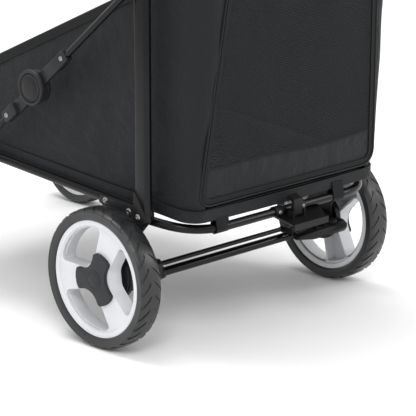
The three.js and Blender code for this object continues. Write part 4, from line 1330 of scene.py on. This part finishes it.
@dataclass
class Struts:
    """The two-part side struts, with an elbow that a round knob locks.

    Attributes:
        x: The left struts' middle.
        elbow: The elbow's middle, as (y, z).
        top: The upper pin's, as (y, z).
        lower: Distance from the elbow to the lower pin.
        thick: The elbow's thickness.
        hub: The radius of the elbow's hubs.
        arm_half: Half the width of its arms.
    """

    x: float = 284.0
    elbow: Flat = (-177.0, 433.0)
    top: Flat = (73.0, 645.0)
    lower: float = 300.0
    thick: float = 16.0
    hub: float = 30.0
    arm_half: float = 11.5

    @property
    def run(self) -> float:
        """The struts' angle from level, in radians."""
        return math.atan2(self.top[1] - self.elbow[1], self.top[0] - self.elbow[0])

    @property
    def inner(self) -> float:
        """The X of the struts' inner faces."""
        return self.x - self.thick / 2

    @property
    def outer(self) -> float:
        """The X of the struts' outer faces."""
        return self.x + self.thick / 2

    def spot(self, distance: float, x: float) -> Vector:
        """A point on the struts' line, a distance up from the elbow."""
        y = self.elbow[0] + distance * math.cos(self.run)
        return at(x, y, self.elbow[1] + distance * math.sin(self.run))

    def bar(self, name: str, eye: float, end: float) -> Shape:
        """A strut's tube with a flattened eye."""
        sign = 1 if end > eye else -1
        path = [self.spot(eye + sign * share, self.x) for share in (6, 20, abs(end - eye))]
        shape = Shape.tube(name, path, 6, 24)
        eye_ends = [self.spot(eye, self.x + side * self.thick / 2) for side in (-1, 1)]
        shape.add(Shape.tube("eye", eye_ends, 12, 28).round(1.6, 3, 50))
        return shape

    def arm(self, sign: int, start: float, x0: float, x1: float) -> Shape:
        """An elbow arm: a thin neck beside the other arm's, then a full sleeve."""
        side = Vector((0, -math.sin(self.run), math.cos(self.run))) * MM
        width = self.arm_half

        def outline(a: float, b: float, taper: float, x: float) -> list[Vector]:
            """The four corners of a bar between two distances."""
            first, last = self.spot(sign * a, x), self.spot(sign * b, x)
            return [
                first - side * width,
                last - side * width * taper,
                last + side * width * taper,
                first + side * width,
            ]

        neck = Shape.traced("neck", outline(start, 99, 1, x0))
        neck.push(ACROSS * (x1 + 0.15 - x0) * MM)
        neck.outwards().round(1.2, 2)
        sleeve = Shape.traced("sleeve", outline(72, 108, 0.92, self.inner))
        sleeve.push(ACROSS * self.thick * MM)
        sleeve.outwards().round(2.6, 4)
        return neck.add(sleeve)

    def knob(self) -> Shape:
        """The upper hub with the knob's rounded ring."""
        x = self.outer
        centre = self.spot(0, 0)
        profile = [
            (0, x - 7.6),
            (self.hub - 1, x - 7.6),
            (self.hub, x - 6.8),
            (self.hub, x - 2.0),
            (28.6, x - 1.2),
            (28.6, x - 0.4),
            (30.6, x),
            (32, x + 1.5),
            (32, x + 5.6),
            (31.2, x + 7.4),
            (29.4, x + 8.3),
            (27.2, x + 8.2),
            (26.0, x + 7.2),
            (25.6, x + 5.2),
            (25.6, x - 3.0),
            (0, x - 3.0),
        ]
        points = [centre + (ACROSS * a + UP * r) * MM for r, a in profile]
        return Shape.turned("knob", points, centre, ACROSS, 56)

    def button(self) -> Shape:
        """The knob's plain, faintly domed disc."""
        x = self.outer
        centre = self.spot(0, 0)
        profile = [(0, x + 2.2), (24.4, x + 2.2), (25, x + 2.8), (25, x + 7.2), (24.2, x + 8.0)]
        profile += [(21.5, x + 8.2), (20.8, x + 7.9), (20, x + 8.2), (10, x + 8.8), (0, x + 9.0)]
        points = [centre + (ACROSS * a + UP * r) * MM for r, a in profile]
        return Shape.turned("button", points, centre, ACROSS, 56)

    def build(self) -> None:
        """Builds one side's struts and copies them to the other."""
        reach = math.dist(self.elbow, self.top)
        lower = self.bar("strut_lower", -self.lower, -84)
        both(lower, "strut_lower_{}_fine", TUBE, "strut_lower_{}", ["strut_lower_{}"])
        upper = self.bar("strut_upper", reach, 84)
        both(upper, "strut_upper_{}_fine", TUBE, "strut_upper_{}", ["strut_upper_{}"])
        arm = self.arm(-1, 0, self.inner, self.x - 0.4)
        hub = [self.spot(0, x) for x in (self.inner, self.x - 0.4)]
        arm.add(Shape.tube("hub", hub, self.hub, 48).round(1.2, 2))
        both(arm, "elbow_lower_{}_fine", GREY, "strut_lower_{}", ["elbow_lower_{}"])
        arm = self.arm(1, 28, self.x + 0.2, self.outer)
        both(arm, "elbow_upper_arm_{}", GREY, "strut_upper_{}")
        both(self.knob(), "elbow_upper_{}_fine", GREY, "strut_upper_{}", ["elbow_upper_{}"])
        both(self.button(), "knob_button_{}_fine", BLACK, "knob_button_{}", ["knob_button_{}"])
        for distance, end in ((-97, "lower"), (97, "upper")):
            head = rivet("arm_rivet", self.spot(distance, self.outer), ACROSS, 4.6, 2.2)
            both(head, f"arm_rivet_{end}_{{}}", RIVET, f"strut_{end}_{{}}")
        for distance, end in ((-self.lower, "lower"), (reach, "upper")):
            head = rivet("eye_rivet", self.spot(distance, self.outer), ACROSS, 6.2, 3.0)
            both(head, f"eye_rivet_{end}_{{}}", RIVET, f"strut_{end}_{{}}")


# ---------------------------------------------------------------- cabin


@dataclass
class Plan:
    """The cabin's outline: a sloping floor, a leaning rear wall and a sloping rim.

    Attributes:
        half: Half its width.
        rear: Depth of the rear wall at the floor.
        front: Depth of the front wall.
        floor: Height of the bottom edge at the rear.
        rise: How fast the bottom edge rises towards the front.
        lean: How fast the rear wall leans back.
        pivot: The hood's pivot, as (y, z).
        slope: How fast the rim falls towards the front.
        bend: Depth at which the rim turns towards its front edge.
        front_top: Height of the rim at the front.
        hood: The hood's radius round its pivot.
        corner: The radius of the rear corners.
        drop: How far the hem hangs below the floor.
        door_low: Height of the door's bottom.
        door_high: Height of the top of its arch.
        door_foot: The radius of its bottom corners.
        arch: Height at which its arch starts.
    """

    half: float = 234.0
    rear: float = 160.0
    front: float = -606.0
    floor: float = 251.0
    rise: float = 0.07
    lean: float = 0.0925
    pivot: Flat = (58.0, 640.0)
    slope: float = 0.46631
    bend: float = -476.0
    front_top: float = 364.6
    hood: float = 250.0
    corner: float = 36.0
    drop: float = 10.0
    door_low: float = 266.0
    door_high: float = 788.0
    door_foot: float = 30.0
    arch: float = 640.0

    def floor_z(self, y: float) -> float:
        """Height of the cabin's bottom edge."""
        return self.floor + self.rise * (self.rear - y)

    def rim_z(self, y: float) -> float:
        """Height of the rim below the hood."""
        if y >= self.pivot[0]:
            return self.pivot[1]
        if y >= self.bend:
            return self.pivot[1] - self.slope * (self.pivot[0] - y)
        low = self.pivot[1] - self.slope * (self.pivot[0] - self.bend)
        return blend(low, self.front_top, (self.bend - y) / (self.bend - self.front))

    def wall_y(self, z: float) -> float:
        """Depth of the leaning rear wall."""
        return self.rear + self.lean * (z - self.floor)

    def door_half(self, z: float) -> float:
        """Half the door's width: rounded at the bottom, drawn in to an arch at the top."""
        base = 222 - 44 * (z - 264) / 466
        foot = self.door_foot
        rise = z - self.door_low
        if rise < foot:
            base -= foot - math.sqrt(max(0.0, foot * foot - (foot - rise) ** 2))
        if z > self.arch:
            share = min(1.0, (z - self.arch) / (self.door_high - self.arch))
            base *= max(0.0, 1 - share**2.4) ** (1 / 2.2)
        return base

    def hood_reach(self, turn: float) -> float:
        """Distance from the hood's pivot to its skin, at an angle in degrees from rearwards."""
        if turn > 80:
            return self.hood
        cos, sin = math.cos(math.radians(turn)), math.sin(math.radians(turn))
        gap = self.wall_y(self.pivot[1]) - self.pivot[0]
        wall = gap / max(1e-3, cos - self.lean * sin)
        return min(self.hood, wall) - 3.0 * math.exp(-(((turn - 50.7) / 9) ** 2))


PLAN = Plan()
FOLD_ANCHOR = at(0, PLAN.rear, PLAN.floor)


def crumples(piece: bpy.types.Object) -> bpy.types.Object:
    """Gives a soft piece a mesh of its own."""
    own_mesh(piece)
    return piece


def band(
    name: str, path: Sequence[Vector], across: Sequence[Vector], width: float, thick: float
) -> Shape:
    """A flat tape: its middle line, the unit direction across it at each point, its size.

    Args:
        name: The piece's name.
        path: Points in metres along its middle.
        across: The direction from its one edge to the other at each point.
        width: Its width in millimetres.
        thick: Its thickness in millimetres.

    Returns:
        The tape, still on the bench.
    """
    count = len(path) - 1
    length = sum((b - a).length for a, b in zip(path, path[1:])) / MM

    def surface(along: float, side: float) -> Vector:
        """A point of the tape."""
        i = min(count, round(along * count))
        return path[i] + across[i] * (side - 0.5) * width * MM

    shape = Shape.sheet(name, (count, 4), (length, width), surface)
    return shape.thicken(thick)


@dataclass
class Bag:
    """The cabin's shell: one sheet round both sides and the front, with its bindings.

    Attributes:
        seam: Height of the hem's upper seam over the floor.
        sag: How far the hem hangs down at the middle of the rear.
        front_corner: The radius of the front corners.
        counts: Steps on the rear, its corner, the side, the front corner and half the front.
        rows: Faces from the floor to the rim.
        crowding: How much the rows crowd towards the floor.
    """

    seam: float = 7.6
    sag: float = 3.0
    front_corner: float = 44.0
    counts: tuple[int, ...] = (3, 8, 64, 9, 18)
    rows: int = 52
    crowding: float = 1.4

    def plan_point(self, step: int, z: float) -> tuple[Vector, Vector]:
        """A point of the left half of the plan, and the way out from it.

        Args:
            step: How many steps from the door's edge towards the front's middle.
            z: The height, which sets the rear corner and the door's edge.

        Returns:
            The point (y not yet leaned) and the outward direction, both flat.
        """
        plan = PLAN
        door = plan.door_half(max(z, plan.door_low + 1.5)) + 1.5
        radius = min(plan.corner, plan.half - door - 1)
        front = self.front_corner
        left = step
        for index, count in enumerate(self.counts):
            if left <= count:
                break
            left -= count
        share = left / self.counts[index]
        if index == 0:
            x = blend(door, plan.half - radius, share)
            return Vector((x, plan.rear, 0)), REARWARD
        if index == 1:
            turn = math.radians(90 * (1 - share))
            out = Vector((math.cos(turn), math.sin(turn), 0))
            return Vector((plan.half - radius, plan.rear - radius, 0)) + out * radius, out
        if index == 2:
            y = blend(plan.rear - radius, plan.front + front, share)
            return Vector((plan.half, y, 0)), ACROSS
        if index == 3:
            turn = math.radians(-90 * share)
            out = Vector((math.cos(turn), math.sin(turn), 0))
            return Vector((plan.half - front, plan.front + front, 0)) + out * front, out
        x = blend(plan.half - front, 0, share)
        return Vector((x, plan.front, 0)), -REARWARD

    def surface(self, along: float, rise: float) -> Vector:
        """A point of the shell, from the left door edge round the front to the right one."""
        plan = PLAN
        rise = rise**self.crowding
        total = sum(self.counts)
        step = round(along * 2 * total)
        right = step > total
        step = 2 * total - step if right else step
        guess = blend(plan.floor, plan.pivot[1], rise)
        spot, out = self.plan_point(step, guess)
        low, high = plan.floor_z(spot.y) - plan.drop, plan.rim_z(spot.y)
        z = blend(low, high, rise)
        spot, out = self.plan_point(step, z if spot.y > plan.rear - 60 else guess)
        share = min(1.0, max(0.0, (spot.y - 58) / (plan.rear - 58)))
        y = spot.y + plan.lean * (z - plan.floor) * share
        point = Vector((spot.x, y, z))
        point += out * self.relief(point, rise, right)
        if right:
            point.x = -point.x
        return at(*point)

    def relief(self, point: Vector, rise: float, right: bool) -> float:
        """How far the cloth stands out from its plan: fullness, folds and its hem."""
        plan = PLAN
        edge = ease(rise * 5) * ease((1 - rise) * 5)
        side = max(0.0, math.sin(math.pi * (plan.rear - point.y) / (plan.rear - plan.front)))
        full = 3.2 * edge * side
        shift = 300.0 if right else 0.0
        place = Vector((point.x + shift, point.y, point.z * 0.5)) / 95
        slant = Vector((point.x + shift, point.y - 0.6 * point.z, 0.35 * point.z)) / 42
        folds = (3.4 * noise.noise(place) + 1.9 * noise.noise(slant)) * edge
        low = math.exp(-(((point.y - 95) / 120) ** 2)) * ease((0.45 - rise) * 3)
        tucks = 1.3 * math.sin((point.y + 0.35 * point.z) / 13) * low * edge
        above = point.z - plan.floor_z(point.y)
        groove = -1.4 * math.exp(-(((above - self.seam) / 2.4) ** 2))
        return full + folds + tucks + groove

    def shell(self) -> None:
        """The shell itself, which stands for the sides, front and rear wall."""
        total = 2 * sum(self.counts)
        shape = Shape.sheet("cabin_shell", (total, self.rows), (2000, 390), self.surface)
        shape.thicken(-2.0)
        nodes = ["cabin_side_left", "cabin_side_right", "cabin_rear", "cabin_front"]
        crumples(shape.done(CLOTH, "frame", nodes, SHARP_CLOTH))

    def loop(self, lift: float, out_by: float) -> list[Vector]:
        """A closed line round the bag, at a height over its floor."""
        total = sum(self.counts)
        rear = [Vector((220 * i / 10, PLAN.rear, 0)) for i in range(10)]
        half = [(spot, REARWARD) for spot in rear]
        half += [self.plan_point(i, PLAN.floor + lift) for i in range(total + 1)]
        line = []
        for spot, out in half:
            z = PLAN.floor_z(spot.y) + lift
            if lift < PLAN.drop:
                z -= self.sag * max(0.0, spot.y / PLAN.rear) * (1 - (spot.x / PLAN.half) ** 2)
            share = min(1.0, max(0.0, (spot.y - 58) / (PLAN.rear - 58)))
            y = spot.y + PLAN.lean * (z - PLAN.floor) * share
            line.append(Vector((spot.x, y, z)) + out * out_by)
        return [at(*point) for point in mirrored(line)]

    def hem(self) -> None:
        """The band round the bottom and its two pipings; the lower piping is partly painted shadow.
        """
        path = self.loop((self.seam - PLAN.drop) / 2, 1.2)
        hem = band("bottom_hem", path, [UP] * len(path), self.seam + PLAN.drop + 2, 2.2)
        crumples(hem.done(CLOTH, "frame", (), SHARP_TAPE))
        # The lower cord runs along the bag's bottom edge over the side tubes. It is partly a real
        # piping and partly painted shadow: a dark strip that fills the shaded gap between the bag
        # and the tubes.
        lines = (("hem_piping_upper", self.seam + 0.6, 1.5), ("hem_piping_lower", -PLAN.drop, 2.4))
        for name, lift, radius in lines:
            path = self.loop(lift, 1.9)
            piping = Shape.tube(name, path, radius, 8, ring=True)
            crumples(piping.done(CORD, "frame", (), SHARP_CLOTH))

    def base(self) -> None:
        """The cloth under the floor board."""
        plan = PLAN

        def surface(along: float, side: float) -> Vector:
            """A point of the base, with its corners rounded."""
            y = blend(plan.front + 2, plan.rear - 1, along)
            near = min(y - plan.front, plan.rear - y)
            pull = 30 - math.sqrt(max(0.0, 900 - max(0.0, 30 - near) ** 2)) if near < 30 else 0
            x = (plan.half - 1 - pull) * (2 * side - 1)
            sag = (0.6 + 2.4 * ease(along)) * (1 - (2 * side - 1) ** 2)
            return at(x, y, plan.floor_z(y) + 0.4 - plan.drop - sag)

        shape = Shape.sheet("cabin_base", (40, 24), (766, 468), surface)
        shape.flip().done(CLOTH, "frame", (), SHARP_CLOTH)

    def rim_line(self, out_by: float, drop: float) -> list[Vector]:
        """The rim from the left pivot round the front to the right pivot."""
        half = []
        for i in range(sum(self.counts) + 1):
            spot, out = self.plan_point(i, 640)
            if spot.y <= PLAN.pivot[0]:
                z = PLAN.rim_z(spot.y) - drop
                half.append(Vector((spot.x, spot.y, z)) + out * out_by)
        return [at(*point) for point in mirrored(half)]

    def rim(self) -> None:
        """The binding folded over the rim, and the cord in its edge."""
        path = self.rim_line(1.4, 8.0)
        tape = band("rim_binding", path, [UP] * len(path), 16, 1.6)
        crumples(tape.done(TAPE, "frame", (), SHARP_TAPE))
        path = self.rim_line(0.4, -0.6)
        cord = Shape.tube("rim_cord", path, 2.6, 10)
        crumples(cord.done(CORD, "frame", (), SHARP_CLOTH))

    def build(self) -> None:
        """Builds the shell, its base, hem and rim."""
        self.shell()
        self.base()
        self.hem()
        self.rim()


@dataclass
class Door:
    """The zipped rear door: a net window over a plain strip, bound and zipped all round."""

    strip: float = 330.0
    window_cut: Flat = (0.444, 0.462)
    window_area: float = 0.17
    strip_cut: Flat = (0.44, 0.065)
    crown: float = 5.0
    rows: int = 56
    columns: int = 36

    def surface_point(self, x: float, z: float, out_by: float = 0.0) -> Vector:
        """A point on the rear wall's outside, pushed out and crowned."""
        y = PLAN.wall_y(z)
        half = max(1.0, PLAN.door_half(z))
        across = min(1.0, abs(x) / half)
        height = (z - PLAN.door_low) / (PLAN.door_high - PLAN.door_low)
        swell = self.crown * (1 - across**2) * math.sin(math.pi * min(1.0, max(0.0, height))) ** 0.6
        ripple = 1.1 * noise.noise(Vector((x / 70, z / 150, 3.1))) * (1 - across**4)
        pull = 1.2 * math.sin((x + 0.8 * z) / 26) * (1 - across) * ease(height * 4)
        return at(x, y + swell + ripple + 0.4 * pull + out_by, z)

    def edge(self, count: int = 120) -> list[Flat]:
        """The door's outline as (x, z) points from the top's middle round and back."""
        low, high = PLAN.door_low, PLAN.door_high
        half = []
        for i in range(count // 2 + 1):
            share = (1 - math.cos(math.pi * i / (count // 2))) / 2
            z = blend(high, low, share)
            half.append((PLAN.door_half(z), z))
        bottom = [(half[-1][0] * (1 - i / 8), low) for i in range(1, 9)]
        half += bottom
        return half + [(-x, z) for x, z in reversed(half[:-1])]

    def heights(self, low: float, high: float, along: float) -> float:
        """A row's height, with rows crowded where the outline bends."""
        share = (1 - math.cos(math.pi * along)) / 2
        return blend(low, high, share)

    def strip_line(self, x: float) -> float:
        """Height of the seam between the plain strip and the net."""
        return self.strip + 3.0 * math.sin(x / 55) + 4.0 * ease((x - 150) / 70)

    def panel(self, name: str, low: bool) -> Shape:
        """The plain strip or the net window."""

        def surface(side: float, rise: float) -> Vector:
            """A point of the panel."""
            seam = self.strip_line(0)
            if low:
                z = self.heights(PLAN.door_low, 2 * seam - PLAN.door_low, rise / 2)
            else:
                z = self.heights(2 * seam - PLAN.door_high, PLAN.door_high, 0.5 + rise / 2)
            x = PLAN.door_half(z) * (1 - 2 * side)
            shift = (self.strip_line(x) - seam) * (rise if low else 1 - rise)
            return self.surface_point(x, z + shift)

        rows = self.rows // 3 if low else self.rows
        size = (444, 64) if low else (444, 460)
        shape = Shape.sheet(name, (self.columns, rows), size, surface)
        return shape.thicken(1.4)

    def build(self) -> None:
        """Builds the two panels, the seam between them and the zip."""
        window = self.panel("door_window", False)
        window_piece = crumples(window.done(NET, "rear_door", ["rear_door"], SHARP_CLOTH))
        strip = self.panel("door_strip", True)
        strip_piece = crumples(strip.done(CLOTH, "rear_door", (), SHARP_CLOTH))
        xs = [222 * (1 - 2 * i / 48) for i in range(49)]
        line = []
        for x in xs:
            z = self.strip_line(x)
            half = PLAN.door_half(z)
            line.append(self.surface_point(x * half / 222, z, 0.5))
        seam = band("door_seam", line, [UP] * len(line), 5, 1.2)
        crumples(seam.done(TAPE, "rear_door", (), SHARP_TAPE))
        outline = self.edge()
        inner, middle_line, outer = [], [], []
        for i, (x, z) in enumerate(outline):
            before = outline[max(0, i - 1)]
            after = outline[min(len(outline) - 1, i + 1)]
            way = Vector((after[0] - before[0], after[1] - before[1]))
            out = Vector((-way.y, way.x)).normalized() if way.length > 0 else Vector((0, 1))
            inner.append(self.surface_point(x - out.x * 8, z - out.y * 8, 0.8))
            middle_line.append(self.surface_point(x, z, 1.0))
            outer.append(Vector((out.x, PLAN.lean * out.y, out.y)).normalized())
        tape = band("zip_tape", inner, outer, 9, 1.2)
        crumples(tape.done(TAPE, "rear_door", (), SHARP_TAPE))
        teeth = Shape.tube("zip_coil", middle_line, 2.1, 8)
        crumples(teeth.done(CORD, "rear_door", (), SHARP_CLOTH))


@dataclass
class Hood:
    """The fixed rear part, the canopy that swings back with the bow, and its brim.

    Attributes:
        corner: The radius of the hood's edges.
        fixed_end: The angle in degrees from rearwards that the fixed part ends at.
        canopy: The angles that the canopy lies between.
        brim: The angles that the brim lies between.
    """

    corner: float = 40.0
    fixed_end: float = 100.0
    canopy: Flat = (97.0, 156.0)
    brim: Flat = (155.5, 165.0)

    def section(self, turn: float, share: float, reach: float, half: float, start: float) -> Vector:
        """A point of a section from the top's middle, or the door's edge, to the pivot.

        Args:
            turn: The section's angle in degrees from rearwards.
            share: From 0 at the section's start to 1 at the pivot.
            reach: The skin's distance from the pivot.
            half: Half the hood's width.
            start: The X that the section starts from.

        Returns:
            The point in plan millimetres.
        """
        radius = min(self.corner, half - start - 1)
        hub = 15.0
        flat = (half - radius) - start
        fall = reach - radius - hub
        marks = (0.4, 0.6)
        if share <= marks[0]:
            x, far = start + flat * share / marks[0], reach
        elif share <= marks[1]:
            angle = math.radians(90) * (share - marks[0]) / (marks[1] - marks[0])
            x = half - radius + radius * math.sin(angle)
            far = reach - radius + radius * math.cos(angle)
        else:
            x, far = half, reach - radius - fall * (share - marks[1]) / (1 - marks[1])
        cos, sin = math.cos(math.radians(turn)), math.sin(math.radians(turn))
        return Vector((x, PLAN.pivot[0] + far * cos, PLAN.pivot[1] + far * sin))

    def fixed_half(self, side: Side) -> Shape:
        """Half of the fixed part, from the door's edge or the centre seam to the pivot."""

        def surface(along: float, across: float) -> Vector:
            """A point of the fixed part."""
            turn = blend(0.0, self.fixed_end, along)
            reach = PLAN.hood_reach(turn)
            z = PLAN.pivot[1] + reach * math.sin(math.radians(turn))
            start = PLAN.door_half(z) + 1.5 if z < PLAN.door_high else 0.0
            point = self.section(turn, across, reach - 2.5, PLAN.half - 0.4, start)
            point += Vector((0, 0, 0.8 * noise.noise(point / 80)))
            if z < PLAN.door_high:
                point.y += 2.0
            return at(point.x * side.value, point.y, point.z)

        shape = Shape.sheet(f"hood_rear_{side.tag}", (56, 40), (400, 380), surface)
        if side is Side.RIGHT:
            shape.flip()
        return shape.thicken(2.0)

    def swinging(self, name: str, span: Flat, lift: float, rows: int, sag: float) -> Shape:
        """A full-width sector of the hood that swings with the bow."""

        def surface(along: float, across: float) -> Vector:
            """A point of the sector."""
            turn = blend(span[0], span[1], along)
            share = 2 * abs(across - 0.5)
            hoop = abs(math.sin(2 * math.pi * along))
            dip = sag * hoop * (1 - share**3)
            reach = PLAN.hood + lift - dip
            point = self.section(turn, share, reach, PLAN.half + 2.6 - 0.25 * dip * share, 0.0)
            sign = -1 if across > 0.5 else 1
            return at(point.x * sign, point.y, point.z)

        length = math.radians(span[1] - span[0]) * PLAN.hood
        return Shape.sheet(name, (rows, 96), (length, 900), surface)

    def hoop(self, name: str, turn: float, radius: float) -> Shape:
        """A covered hoop across the hood at an angle."""
        reach, half = PLAN.hood + 3.2, PLAN.half + 3.0
        left = [self.section(turn, i / 25, reach, half, 0.0) for i in range(25)]
        line = [MIRROR @ point for point in reversed(left[1:])] + left
        return Shape.tube(name, [at(*point) for point in line], radius, 12)

    def build(self) -> None:
        """Builds the fixed halves, the canopy, its hoops, the brim and the pivots."""
        for side in Side:
            half = self.fixed_half(side)
            nodes = ["hood_rear"] if side is Side.LEFT else []
            crumples(half.done(CLOTH, "frame", nodes, SHARP_CLOTH))
        canopy = self.swinging("hood_canopy_cloth", self.canopy, 3.8, 36, 3.5).thicken(1.6)
        crumples(canopy.done(CLOTH, "hood_bow", ["hood_canopy"], SHARP_CLOTH))
        brim = self.swinging("hood_brim", self.brim, 4.2, 6, 0.0).thicken(2.4)
        crumples(brim.done(TAPE, "hood_bow", ["hood_bow"], SHARP_CLOTH))
        for index, turn in enumerate((97.6, 126.5, 164.8)):
            hoop = self.hoop(f"hood_hoop_{index}", turn, 3.2 if index == 2 else 2.2)
            crumples(hoop.done(CORD, "hood_bow", (), SHARP_CLOTH))
        pivot = at(PLAN.half + 2.2, *PLAN.pivot)
        path = [pivot, pivot + ACROSS * 3.4 * MM]
        disc = Shape.tube("hood_pivot", path, 16, 36).round(1.4, 3)
        for piece in both(disc, "hood_pivot_{}", BLACK, "hood_bow"):
            crumples(piece)


@dataclass
class Cover:
    """The net cover over the front, crowned between its bindings."""

    half: float = 230.0
    cut: Flat = (0.46, 0.466)

    def surface(self, along: float, side: float) -> Vector:
        """A point of the cover, from the front wall up to its free edge."""
        low = PLAN.front + 6
        high = -170.0
        y = blend(low, high, along)
        x = self.half * (1 - 2 * side)
        z = PLAN.rim_z(y) - 6
        crown = 7 * (1 - (2 * side - 1) ** 2) * math.sin(math.pi * min(1, along + 0.05)) ** 0.7
        return at(x, y, z + crown - 4)

    def build(self) -> None:
        """Builds the net and the tape on its free edge."""
        net = Shape.sheet("front_cover_net", (40, 28), (440, 460), self.surface)
        net.flip().thicken(1.2)
        cover = crumples(net.done(NET, "frame", ["front_mesh_cover"], SHARP_CLOTH))
        path = [self.surface(1.0, i / 28) + UP * 1.2 * MM for i in range(29)]
        run = Vector((0, 1, PLAN.slope)).normalized()
        tape = band("cover_edge", path, [run] * len(path), 22, 2.0)
        crumples(tape.done(TAPE, "frame", (), SHARP_TAPE))


@dataclass
class Cushion:
    """The floor pad, puffed by a short cloth simulation.

    Attributes:
        thick: Its thickness before it swells.
        lift: Height of its underside over the bag's bottom edge.
        pressure: The pressure that puffs it.
        frames: How many frames it swells for.
        most: How far a point of it may go.
    """

    thick: float = 22.0
    lift: float = 8.5
    pressure: float = 3.5
    frames: int = 14
    most: float = 4.0

    def build(self) -> None:
        low, high = plan_box("cushion")
        y0, y1 = low[1] + 6, high[1] - 6
        half = high[0] - 5

        def surface(along: float, side: float) -> Vector:
            """A point of the pad's flat underside."""
            y = blend(y0, y1, along)
            x = half * (2 * side - 1)
            return at(x, y, PLAN.floor_z(y) + self.lift)

        shape = Shape.sheet("floor_cushion", (36, 24), (y1 - y0, 2 * half), surface)
        bpy.ops.mesh.select_all(action="SELECT")
        shape.push(UP * self.thick * MM)
        shape.outwards().round(6, 3, 60)
        self.swell(shape)
        shape.apply("SUBSURF", levels=1, render_levels=1)
        pad = shape.done(PAD, "frame", ["cushion"], 80)
        crumples(pad)

    def swell(self, shape: Shape) -> None:
        """Puffs the pad with cloth pressure, capping how far each point may go."""
        shape.apply("REMESH", mode="VOXEL", voxel_size=7 * MM)
        shape.clear()
        obj = shape.obj
        before = [vertex.co.copy() for vertex in obj.data.vertices]
        obj.modifiers.new("cloth", "CLOTH")
        settings = obj.modifiers["cloth"].settings
        settings.use_pressure = True
        settings.uniform_pressure_force = self.pressure
        settings.quality = 5
        settings.effector_weights.gravity = 0
        obj.modifiers["cloth"].collision_settings.use_collision = False
        for frame in range(1, self.frames + 1):
            bpy.context.scene.frame_set(frame)
        bpy.context.view_layer.objects.active = obj
        obj.select_set(True)
        bpy.ops.object.modifier_apply(modifier="cloth")
        for vertex, old in zip(obj.data.vertices, before):
            step = vertex.co - old
            if step.length > self.most * MM:
                vertex.co = old + step.normalized() * self.most * MM
        bpy.context.scene.frame_set(1)


# ---------------------------------------------------------------- straps


@dataclass
class Straps:
    """Cloth loops that hang the bag on the rear tube."""

    spans: tuple[Flat, ...] = ((150.0, 180.0), (-139.0, -112.0))

    def build(self) -> None:
        """Builds each loop round the tube, its ends under the hem."""
        y, z = rear_bar()
        for index, (x0, x1) in enumerate(self.spans):
            around = arc((y, z), 9.6, 160, 380, 22)
            line = [(y - 2, PLAN.floor + 3)] + around + [(y + 4.2, PLAN.floor - 2)]
            middle_x = (x0 + x1) / 2
            drift = 12 if abs(middle_x) > 150 else 0
            path = [at(middle_x, a - drift * 0.2, b) for a, b in line]
            strap = band(f"tube_strap_{index}", path, [ACROSS] * len(path), x1 - x0, 1.6)
            strap.done(TAPE, "frame", (), SHARP_CLOTH)


# ---------------------------------------------------------------- studio


@dataclass
class Studio:
    """A plain pale floor, soft light and the camera."""

    eye: Flat3 = (3.0912, 3.3588, 1.4243)
    target: Flat3 = (0.3247, 0.5765, 0.3142)
    lens: float = 217.3
    sensor: float = 36.0

    def camera(self) -> None:
        """Looks at the stroller from behind its left wheel."""
        bpy.ops.object.camera_add(location=self.eye)
        camera = bpy.context.object
        aim = Vector(self.target) - Vector(self.eye)
        camera.rotation_euler = aim.to_track_quat("-Z", "Y").to_euler()
        camera.data.lens = self.lens
        camera.data.sensor_width = self.sensor
        camera.data.clip_end = 60
        bpy.context.scene.camera = camera

    def light(self, name: str, spot: Flat3, size: float, power: float) -> None:
        """A square soft light aimed at the stroller."""
        bpy.ops.object.light_add(type="AREA", location=spot)
        lamp = bpy.context.object
        lamp.name = name
        lamp.data.size = size
        lamp.data.energy = power
        aim = Vector((0, 0, 0.4)) - Vector(spot)
        lamp.rotation_euler = aim.to_track_quat("-Z", "Y").to_euler()

    def build(self) -> None:
        """Sets up the floor, the pale surroundings, the lamps and the camera."""
        Shape.clear()
        self.camera()
        Shape.clear()
        bpy.ops.mesh.primitive_circle_add(vertices=64, radius=30, fill_type="NGON")
        floor = bpy.context.object
        floor.name = "studio_floor"
        graph = Graph("studio_floor")
        place = graph.point(Space.OBJECT)
        mottle = graph.cloud(place, 3, 2)
        floor.data.materials.append(
            graph.finish(
                Base_Color=graph.shade(mottle, (0.9, 0.9, 0.9), (0.93, 0.93, 0.93)),
                Roughness=0.8,
            )
        )
        world = bpy.data.worlds.new("studio")
        bpy.context.scene.world = world
        world.use_nodes = True
        world.node_tree.nodes["Background"].inputs[0].default_value = (1, 1, 1, 1)
        world.node_tree.nodes["Background"].inputs[1].default_value = 0.95
        self.light("key", (2.6, 2.6, 3.4), 1.6, 75)
        self.light("fill", (-2.6, 2.6, 1.8), 1.2, 25)
        self.light("top", (0.2, -0.6, 3.6), 1.8, 75)
        bpy.context.scene.view_settings.view_transform = "Standard"


def main() -> None:
    """Builds every sub-assembly."""
    logging.basicConfig(level=logging.INFO, format="%(message)s")
    Studio().build()
    Wheel("rear", 125, 47, 106, 48, 6.2, 32).build()
    Wheel("front", 100, 40, 84, 38, 5.2, 28).build()
    for assembly in (RearAxle, LowerFrame, Handle, Struts, Bag, Door, Hood, Cover, Cushion, Straps):
        assembly().build()
    Shape.clear()


if __name__ == "__main__":
    main()
